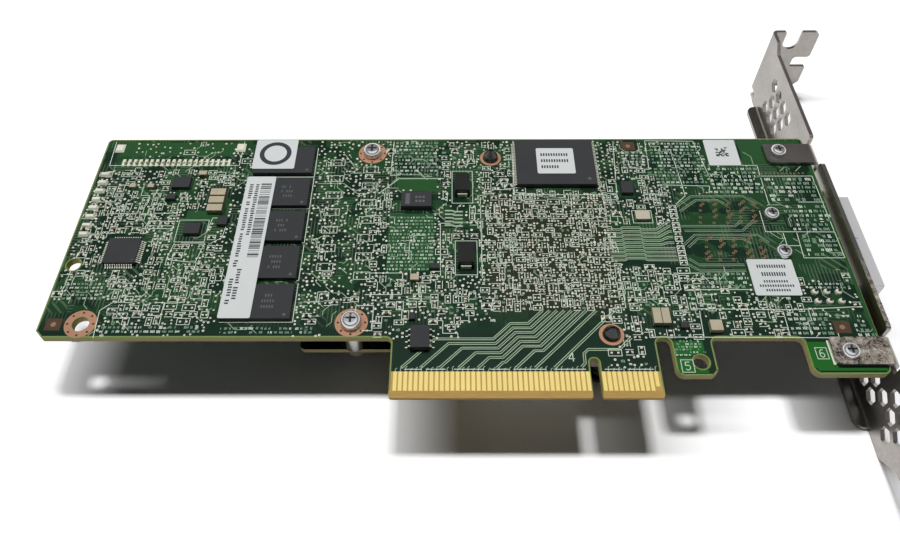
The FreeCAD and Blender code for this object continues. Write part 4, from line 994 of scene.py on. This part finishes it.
# plain digits as strokes, in halves of their height
DIGITS = {4: [(0.25, -1.0), (0.25, 1.0), (-0.6, -0.4), (0.6, -0.4)],
          5: [(0.5, 1.0), (-0.45, 1.0), (-0.5, 0.1), (0.1, 0.25), (0.5, -0.1), (0.5, -0.6), (0.15, -1.0),
              (-0.25, -1.0), (-0.55, -0.75)],
          6: [(0.4, 0.95), (0.0, 0.95), (-0.35, 0.6), (-0.5, -0.1), (-0.45, -0.65), (-0.15, -1.0),
              (0.2, -1.0), (0.5, -0.6), (0.5, -0.25), (0.2, 0.1), (-0.15, 0.1), (-0.48, -0.25)]}


def digit(pile, number, x, y, high, width):
    """Plain digit drawn in one stroke."""
    pile.path([(x + i * high / 2, y + j * high / 2) for i, j in DIGITS[number]], width, PRINT)


def tails(node):
    """How far a header's tails stand out of the solder face."""
    return (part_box(node)[1].z - FACE_Z) / MM + 0.03


def printed_layout(d, thin):
    """Borders, outlines and plain numbers that have their own places."""
    for line in BORDERS:
        d.print.path(line, thin * 1.15, PRINT)
    for k, (x0, x1, y0, y1) in enumerate(CHIPS):
        if k < PRINTED_CHIPS:
            d.print.frame(x0, x1, y0, y1, thin, PRINT)
        d.room.block_off(x0 - 0.1, x1 + 0.1, y0 - 0.1, y1 + 0.1)
    for x0, x1, y0, y1 in MEMORY:
        d.print.path([(x0, y0), (x1, y0), (x1, y1)], thin * 1.2, PRINT)
    for number, x, y, wide, high in ((5, 17.9, 6.6, 2.4, 2.7), (6, 44.5, 9.4, 2.2, 2.5)):
        d.print.outline(x, y, wide, high, thin, PRINT)
        digit(d.print, number, x, y, 1.7, thin * 1.3)
        d.room.block_off(x - wide / 2, x + wide / 2, y - high / 2, y + high / 2)
    digit(d.print, 4, -4.3, 8.6, 2.0, thin * 1.3)
    for rows in ROWS:
        d.add_rows(*rows)


def solder_joints(d):
    """Joints of the three headers, solder tabs and pads with their own places."""
    for k in range(20):                                   # row of the backup header
        d.solder.block(-105.35 + 1.313 * k, 61.1, 0.76, 2.3, 0.0, 0.14, 0.1)
    for x, y in ((-107.4, 65.9), (-78.3, 66.1)):          # its two tabs
        d.solder.block(x, y, 2.2, 2.7, 0.0, 0.35, 0.4)
    for x, y in ((-107.5, 62.2), (-78.3, 62.1)):          # its two locating holes
        # the locating holes are flat dark discs: painted shade
        d.holes.disc(x, y, 0.42, 0.03, 10)
    for k in range(8):                                    # column of the status header
        d.solder.block(-108.5, 57.2 - 2.56 * k, 2.3, 1.3, 0.0, tails("status_header_pins"), 0.3)
    low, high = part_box("service_header_pins")             # two rows of three
    half = 0.32                                           # half a pin's width
    lift = tails("service_header_pins")
    for k in range(6):
        x = (low.x - KEY_X) / MM + half + ((high.x - low.x) / MM - 2 * half) * (k % 3) / 2
        y = (low.y - EDGE_Y) / MM + half + ((high.y - low.y) / MM - 2 * half) * (k // 3)
        d.solder.dome(x, y, 0.75, 0.0, lift + 0.1)
        # dark disc on each joint: painted shade of its hole
        d.holes.disc(x + 0.1, y + 0.1, 0.34, lift + 0.12, 8)
        d.room.block_off(x - 0.85, x + 0.85, y - 0.85, y + 0.85)
    d.solder.rect(46.1, 46.6, 6.9, 12.3, PAD)             # tinned strip beside the bracket's near ear


def make_detail():
    """Vias, pads, small parts and component print of the solder face."""
    s = sizes()
    d = Detail(Room(), s.seed)
    for k in range(13):                                   # coupling capacitors beside the bundle
        d.add_part(21.9 - 0.02 * k, 47.0 - 1.3 * k, False, 0.8)
    for x0, x1, y0, y1 in QUIET:
        d.room.block_off(x0, x1, y0, y1)
    thin = s.print_line / MM
    printed_layout(d, thin)
    for x, y, radius in RINGS:                            # small dark holes in each ring
        # each hole is a flat dark disc: painted shade of the open hole
        for px, py in circle(x, y, radius, 8):
            d.holes.disc(px, py, 0.24, 0.06, 8)
    solder_joints(d)
    for x, shift in ((6.9, 0.0), (8.2, 0.5), (9.6, 0.0)):
        for k in range(9):
            d.add_via(x, 66.6 - 1.3 * k + shift, 0.95)
    for column, x in enumerate((-54.6, -46.6)):           # resistor groups beside the memory
        for k in range(7):
            y = 61.0 - 5.1 * k - 2.3 * column
            for i in (-1, 0, 1):
                d.add_part(x + 0.95 * i, y, True, 0.9, ringed=False)
            d.print.frame(x - 1.7, x + 1.7, y - 0.95, y + 0.95, thin, PRINT)
    for field in FIELDS:
        d.fill(*field)
    d.pieces("")
    make_copper_vias(s)
    make_recesses()


def make_copper_vias(s):
    """Copper-ringed holes under the cable connector, and the alignment marks."""
    rng = random.Random(s.seed + 1)
    rings, holes = Pile(), Pile()
    for x0, y0 in ((27.4, 42.4), (26.6, 32.2)):
        for i in range(5):
            for k in range(4):
                x = x0 + 2.95 * i + 0.35 * k + rng.uniform(-0.15, 0.15)
                y = y0 + 1.75 * k + rng.uniform(-0.15, 0.15)
                for j in range(rng.randint(1, 3)):
                    px, py = x + 0.55 * j, y + 0.5 * j
                    rings.ring(px, py, 0.34, 0.22, PAD, 10)
                    # the hole is a flat disc in the laminate's dark brown: painted shade of the open hole
                    holes.disc(px, py, 0.22, HOLE, 8)
    for k in range(12):
        rings.ring(43.6 + 0.95 * k, 57.4, 0.26, 0.12, PAD, 8)
    for x, y in ((-107.8, 16.1), (50.3, 15.4), (14.6, 66.4)):
        rings.disc(x, y, 0.55, PAD, 14)
        holes.rect(x - 1.6, x + 1.6, y - 1.4, y + 1.4, FRONT_POUR + 0.004)
    rings.piece("copper_vias", "via_copper", "copper")
    holes.piece("bare_laminate", "bare_laminate", "board_mask")


def make_recesses():
    """Shade at the bottom of the screws' cross recesses."""
    pile = Pile()
    arm, half = 0.86, 0.2                                 # reach and half width of the cross
    for node in ("bracket_screws", "standoff_screws", "cage_screws"):
        screws = frame["nodes"][node]
        spots = [screws.matrix_world @ corner.co for corner in screws.data.vertices]
        top = max(spot.z for spot in spots)
        crown = [spot for spot in spots if spot.z > top - 0.05 * MM]
        middle = sum(spot.y for spot in crown) / len(crown)
        for group in ([v for v in crown if v.y < middle], [v for v in crown if v.y >= middle]):
            x = ((min(v.x for v in group) + max(v.x for v in group)) / 2 - KEY_X) / MM
            y = ((min(v.y for v in group) + max(v.y for v in group)) / 2 - EDGE_Y) / MM
            floor = max(v.z for v in spots if v.z < top - 0.5 * MM and abs(v.x - KEY_X - x * MM) < 1.0 * MM
                        and abs(v.y - EDGE_Y - y * MM) < 1.0 * MM)
            lift = (floor - FACE_Z) / MM + 0.06
            pile.rect(x - arm, x + arm, y - half, y + half, lift)
            pile.rect(x - half, x + half, y - arm, y + arm, lift + 0.004)
    pile.piece("recess_shade", "hole_dark", "spring_steel")


def card_box(node):
    """A node's box in x and y, and the lift of its top."""
    low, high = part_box(node)
    return ((low.x - KEY_X) / MM, (high.x - KEY_X) / MM, (low.y - EDGE_Y) / MM, (high.y - EDGE_Y) / MM,
            (high.z - FACE_Z) / MM + 0.015)


def dashes(pile, x, end, long, step, y, half, top):
    """Row of short bars."""
    while x < end:
        pile.rect(x, x + long, y - half, y + half, top)
        x += step


def make_labels():
    """Plain bars, dashes and a ring printed on the labels, and corner marks on the chips."""
    rng = random.Random(sizes().seed + 2)
    ink, marks = Pile(), Pile()
    x0, x1, y0, y1, top = card_box("strip_label")
    y = y1 - 2.2
    while y > y0 + 15.0:
        bar = rng.choice((0.14, 0.14, 0.26, 0.4))
        ink.rect(x0 + 3.5, x1 - 0.7, y - bar, y, top)
        y -= bar + rng.choice((0.14, 0.2, 0.3, 0.5))
    for column, start, end in ((2.7, 2.4, 17.0), (1.35, 2.4, 26.0), (2.5, 26.5, 34.0), (1.3, 29.0, 35.5)):
        y = y1 - start
        while y > y1 - end:
            if rng.random() < 0.88:
                left, right = rng.uniform(0.3, 0.5), rng.uniform(0.3, 0.5)
                ink.rect(x0 + column - left, x0 + column + right, y - 0.36, y, top)
            y -= 0.66
    x0, x1, y0, y1, top = card_box("memory_label")
    ink.ring((x0 + x1) / 2, (y0 + y1) / 2 + 0.2, 3.75, 2.65, top, 40)
    x0, x1, y0, y1, top = card_box("firmware_label")
    for row, share in ((0.26, 0.74), (0.5, 0.74), (0.74, 0.42)):
        dashes(ink, x0 + 1.0, x0 + (x1 - x0) * share + 1.0, 0.36, 0.6, y1 - (y1 - y0) * row, 0.45, top)
    x0, x1, y0, y1, top = card_box("square_label")
    for row, share, high in ((0.2, 0.62, 0.42), (0.42, 0.5, 0.5), (0.62, 0.5, 0.3), (0.74, 0.72, 0.3),
                             (0.86, 0.5, 0.3)):
        middle, half = (x0 + x1) / 2, (x1 - x0) * share / 2
        dashes(ink, middle - half, middle + half, 0.3, 0.52, y1 - (y1 - y0) * row, high, top)
    x0, x1, y0, y1, top = card_box("code_label")
    for i in range(8):
        for j in range(8):
            if rng.random() < 0.5:
                px, py = (x0 + x1) / 2 - 1.5 + 0.38 * i, (y0 + y1) / 2 - 1.3 + 0.38 * j
                ink.rect(px, px + 0.36, py, py + 0.36, top)
    ink.piece("label_print", "label_ink", "label_paper")
    for node in (*(f"memory_chip_{k}" for k in range(1, 6)), "firmware_flash", "microcontroller"):
        x0, x1, y0, y1, top = card_box(node)
        marks.disc(x1 - 0.09 * (x1 - x0), y0 + 0.12 * (y1 - y0), 0.025 * (x1 - x0), top, 12)
        if node.startswith("memory"):
            for row in range(3):
                for k in range(5):
                    if rng.random() < 0.8:
                        px, py = x0 + 0.55 * (x1 - x0) + 0.55 * k, y0 + (0.62 - 0.16 * row) * (y1 - y0)
                        marks.rect(px, px + 0.3, py, py + 0.7, top)
    x0, x1, y0, y1, top = card_box("sense_resistor")
    marks.rect(x0 + 1.0, x0 + 2.0, y0 + 0.7, y1 - 0.7, top)
    for row in (0.36, 0.62):
        for k in range(3):
            y = y0 + row * (y1 - y0)
            marks.rect(x0 + 3.2 + 0.8 * k, x0 + 3.75 + 0.8 * k, y - 0.4, y + 0.3, top)
    marks.piece("chip_marks", "chip_mark", "chip_black")


def make_component_side():
    """Vias, small parts, print and traces of the hidden face."""
    s = sizes()
    room = Room(back=True)
    d = Detail(room, s.seed + 3, back=True)
    d.fill(LEFT + 1.5, 55.0, 13.0, 68.0, 1.5, "mixed")
    d.fill(14.0, 22.0, 3.5, 12.0, 1.6, "vias")
    traces = Pile(back=True)
    for _ in range(BACK_TRACES):
        x, y = d.rng.uniform(LEFT + 2, 54.0), d.rng.uniform(7.0, 66.0)
        long, upright = d.rng.uniform(2.0, 9.0), d.rng.random() < 0.5
        end = (x, y + long) if upright else (x + long, y)
        if room.clear(x, y, 0.3, 0.3) and room.clear(end[0], end[1], 0.3, 0.3):
            pair(traces, [(x, y), end], s.pair_gap / MM, s.trace / MM, FRONT_TRACE)
    d.pieces("back_")
    traces.piece("back_traces", "trace_green", "board_mask")


# ------------------------------------------------------------------ stage
FLOOR_SEEN = (1.08, 1.08, 1.08)        # the floor's colour as the camera and mirrors see it
FLOOR_REACH = 0.9
FLOOR_DROP = 0.0001                    # below the card's lowest place
# way from the card's middle, power, and size along and across the card
LAMPS = {"lamp_high": ((0.02, 0.27, 1.0), 7.6, 0.2, 0.1), "lamp_left": ((-0.42, 0.27, 1.0), 6.4, 0.8, 0.1)}
LAMP_AWAY = 1.1
FOCAL_LENGTH, SENSOR_WIDTH = 29.943, 36.0
CAMERA_PLACE = (-27.19, -63.77, 127.76)        # from the key slot, the contacts' edge and the solder face
CAMERA_TURN = (36.428, 0.270, 0.138)           # degrees


def shown(tree):
    """1 where the camera, or something that mirrors, sees the background."""
    seen = add(tree, "LightPath")
    mirror = maths(tree, "MAXIMUM", seen.outputs["Is Glossy Ray"], seen.outputs["Is Transmission Ray"])
    return maths(tree, "MAXIMUM", seen.outputs["Is Camera Ray"], mirror)


def grey(red, green, blue):
    """Linear colour as it is, ready for a socket."""
    return (red, green, blue, 1.0)


def make_floor(scene):
    mesh = bpy.data.meshes.new("floor")
    mesh.from_pydata([(i * FLOOR_REACH, j * FLOOR_REACH, 0) for i, j in CORNERS], [], [(0, 1, 2, 3)])
    floor = bpy.data.objects.new("floor", mesh)
    scene.collection.objects.link(floor)
    floor.location.z = -FLOOR_DROP
    made = Finish("floor", Roughness=0.9, Specular_IOR_Level=0.1)
    tree = made.tree
    mesh.materials.append(made.material)
    # the seen colour rises outwards as the lamps' light falls off, so the floor stays even to its edge
    far = add(tree, "VectorMath", {"operation": "LENGTH"}, i0=add(tree, "TexCoord").outputs["Object"])
    fall = maths(tree, "POWER", maths(tree, "MULTIPLY", far.outputs["Value"], 0.95), 2.0)
    lift = maths(tree, "POWER", maths(tree, "ADD", 1.0, fall), 2.0)
    even = add(tree, "VectorMath", {"operation": "SCALE"}, i0=FLOOR_SEEN, Scale=lift)
    made.feed("Base Color", blend(tree, shown(tree), hue("floor"), even.outputs[0]))


def make_sky(scene):
    """Faint light from all round, and a pale sky for the camera and for mirrors."""
    scene.world = bpy.data.worlds.new("studio")
    scene.world.use_nodes = True
    tree = scene.world.node_tree
    up = add(tree, "SeparateXYZ", i0=add(tree, "TexCoord").outputs["Generated"]).outputs["Z"]
    low = blend(tree, spread(tree, up, 0.3, 0.5), grey(1.0, 1.0, 1.0), grey(0.15, 0.14, 0.14))
    mirrored = blend(tree, spread(tree, up, 0.78, 0.9), low, grey(0.9, 0.92, 0.96))
    ambient = blend(tree, spread(tree, up, 0.0, 1.0), grey(0.004, 0.004, 0.004), grey(0.042, 0.042, 0.043))
    tree.links.new(blend(tree, shown(tree), ambient, mirrored), tree.nodes["Background"].inputs["Color"])


def make_lamps(scene):
    """Two wide soft lamps, their long sides along the card."""
    middle = Vector(((BOARD_LO.x + BOARD_HI.x) / 2, (BOARD_LO.y + BOARD_HI.y) / 2, FACE_Z))
    for name, (way, power, wide, deep) in LAMPS.items():
        lamp = bpy.data.lights.new(name, "AREA")
        lamp.shape, lamp.size, lamp.size_y, lamp.energy = "RECTANGLE", wide, deep, power
        holder = bpy.data.objects.new(name, lamp)
        scene.collection.objects.link(holder)
        ray = Vector(way).normalized()
        holder.location = middle + ray * LAMP_AWAY
        side = (Vector((1, 0, 0)) - ray * ray.x).normalized()
        holder.rotation_euler = Matrix((side, ray.cross(side), ray)).transposed().to_euler()
        holder.visible_glossy = False        # mirrors see the sky alone, as under a wide soft box


def make_stage():
    """Floor, sky, lamps and camera."""
    scene = bpy.context.scene
    make_floor(scene)
    make_sky(scene)
    make_lamps(scene)
    lens = bpy.data.cameras.new("camera")
    lens.lens, lens.sensor_width = FOCAL_LENGTH, SENSOR_WIDTH
    lens.clip_start, lens.clip_end = 0.005, 20.0
    camera = bpy.data.objects.new("camera", lens)
    scene.collection.objects.link(camera)
    x, y, z = CAMERA_PLACE
    camera.location = (KEY_X + x * MM, EDGE_Y + y * MM, FACE_Z + z * MM)
    camera.rotation_euler = [math.radians(turn) for turn in CAMERA_TURN]
    scene.camera = camera
    scene.view_settings.view_transform = "Standard"


# ------------------------------------------------------------------ operators
class CARD_OT_materials(bpy.types.Operator):
    """Build the materials and give each CAD part its own"""
    bl_idname = "card.materials"
    bl_label = "Materials"

    def execute(self, context):
        make_groups()
        make_materials()
        finish_nodes()
        return {"FINISHED"}


class CARD_OT_traces(bpy.types.Operator):
    """Add the traces and copper pours of the solder face"""
    bl_idname = "card.traces"
    bl_label = "Traces"

    def execute(self, context):
        make_traces()
        return {"FINISHED"}


class CARD_OT_detail(bpy.types.Operator):
    """Add vias, pads, small parts and print to the solder face"""
    bl_idname = "card.detail"
    bl_label = "Fine detail"

    def execute(self, context):
        make_detail()
        return {"FINISHED"}


class CARD_OT_labels(bpy.types.Operator):
    """Add the plain marks on labels and chips"""
    bl_idname = "card.labels"
    bl_label = "Label marks"

    def execute(self, context):
        make_labels()
        return {"FINISHED"}


class CARD_OT_component_side(bpy.types.Operator):
    """Add vias, small parts and print to the component face"""
    bl_idname = "card.component_side"
    bl_label = "Component face"

    def execute(self, context):
        make_component_side()
        return {"FINISHED"}


class CARD_OT_stage(bpy.types.Operator):
    """Add the floor, lamps, sky and camera"""
    bl_idname = "card.stage"
    bl_label = "Stage"

    def execute(self, context):
        make_stage()
        return {"FINISHED"}


STEPS = (CARD_OT_materials, CARD_OT_traces, CARD_OT_detail, CARD_OT_labels,
         CARD_OT_component_side, CARD_OT_stage)


class CARD_PT_panel(bpy.types.Panel):
    """Sizes, colours and steps of the card's finish"""
    bl_idname = "CARD_PT_panel"
    bl_label = "Controller card"
    bl_space_type = "VIEW_3D"
    bl_region_type = "UI"
    bl_category = "Card"

    def draw(self, context):
        for group in (context.scene.card_sizes, context.scene.card_colours):
            for name in group.__annotations__:
                self.layout.prop(group, name)
        for step in STEPS:
            self.layout.operator(step.bl_idname)


CLASSES = (CardSizes, CardColours, *STEPS, CARD_PT_panel)


def register():
    for item in CLASSES:
        bpy.utils.register_class(item)
    bpy.types.Scene.card_sizes = PointerProperty(type=CardSizes)
    bpy.types.Scene.card_colours = PointerProperty(type=CardColours)


def unregister():
    del bpy.types.Scene.card_colours
    del bpy.types.Scene.card_sizes
    for item in reversed(CLASSES):
        bpy.utils.unregister_class(item)


def main():
    register()
    bpy.ops.card.materials()
    bpy.ops.card.traces()
    bpy.ops.card.detail()
    bpy.ops.card.labels()
    bpy.ops.card.component_side()
    bpy.ops.card.stage()
    bpy.context.view_layer.update()


if __name__ == "__main__":
    main()
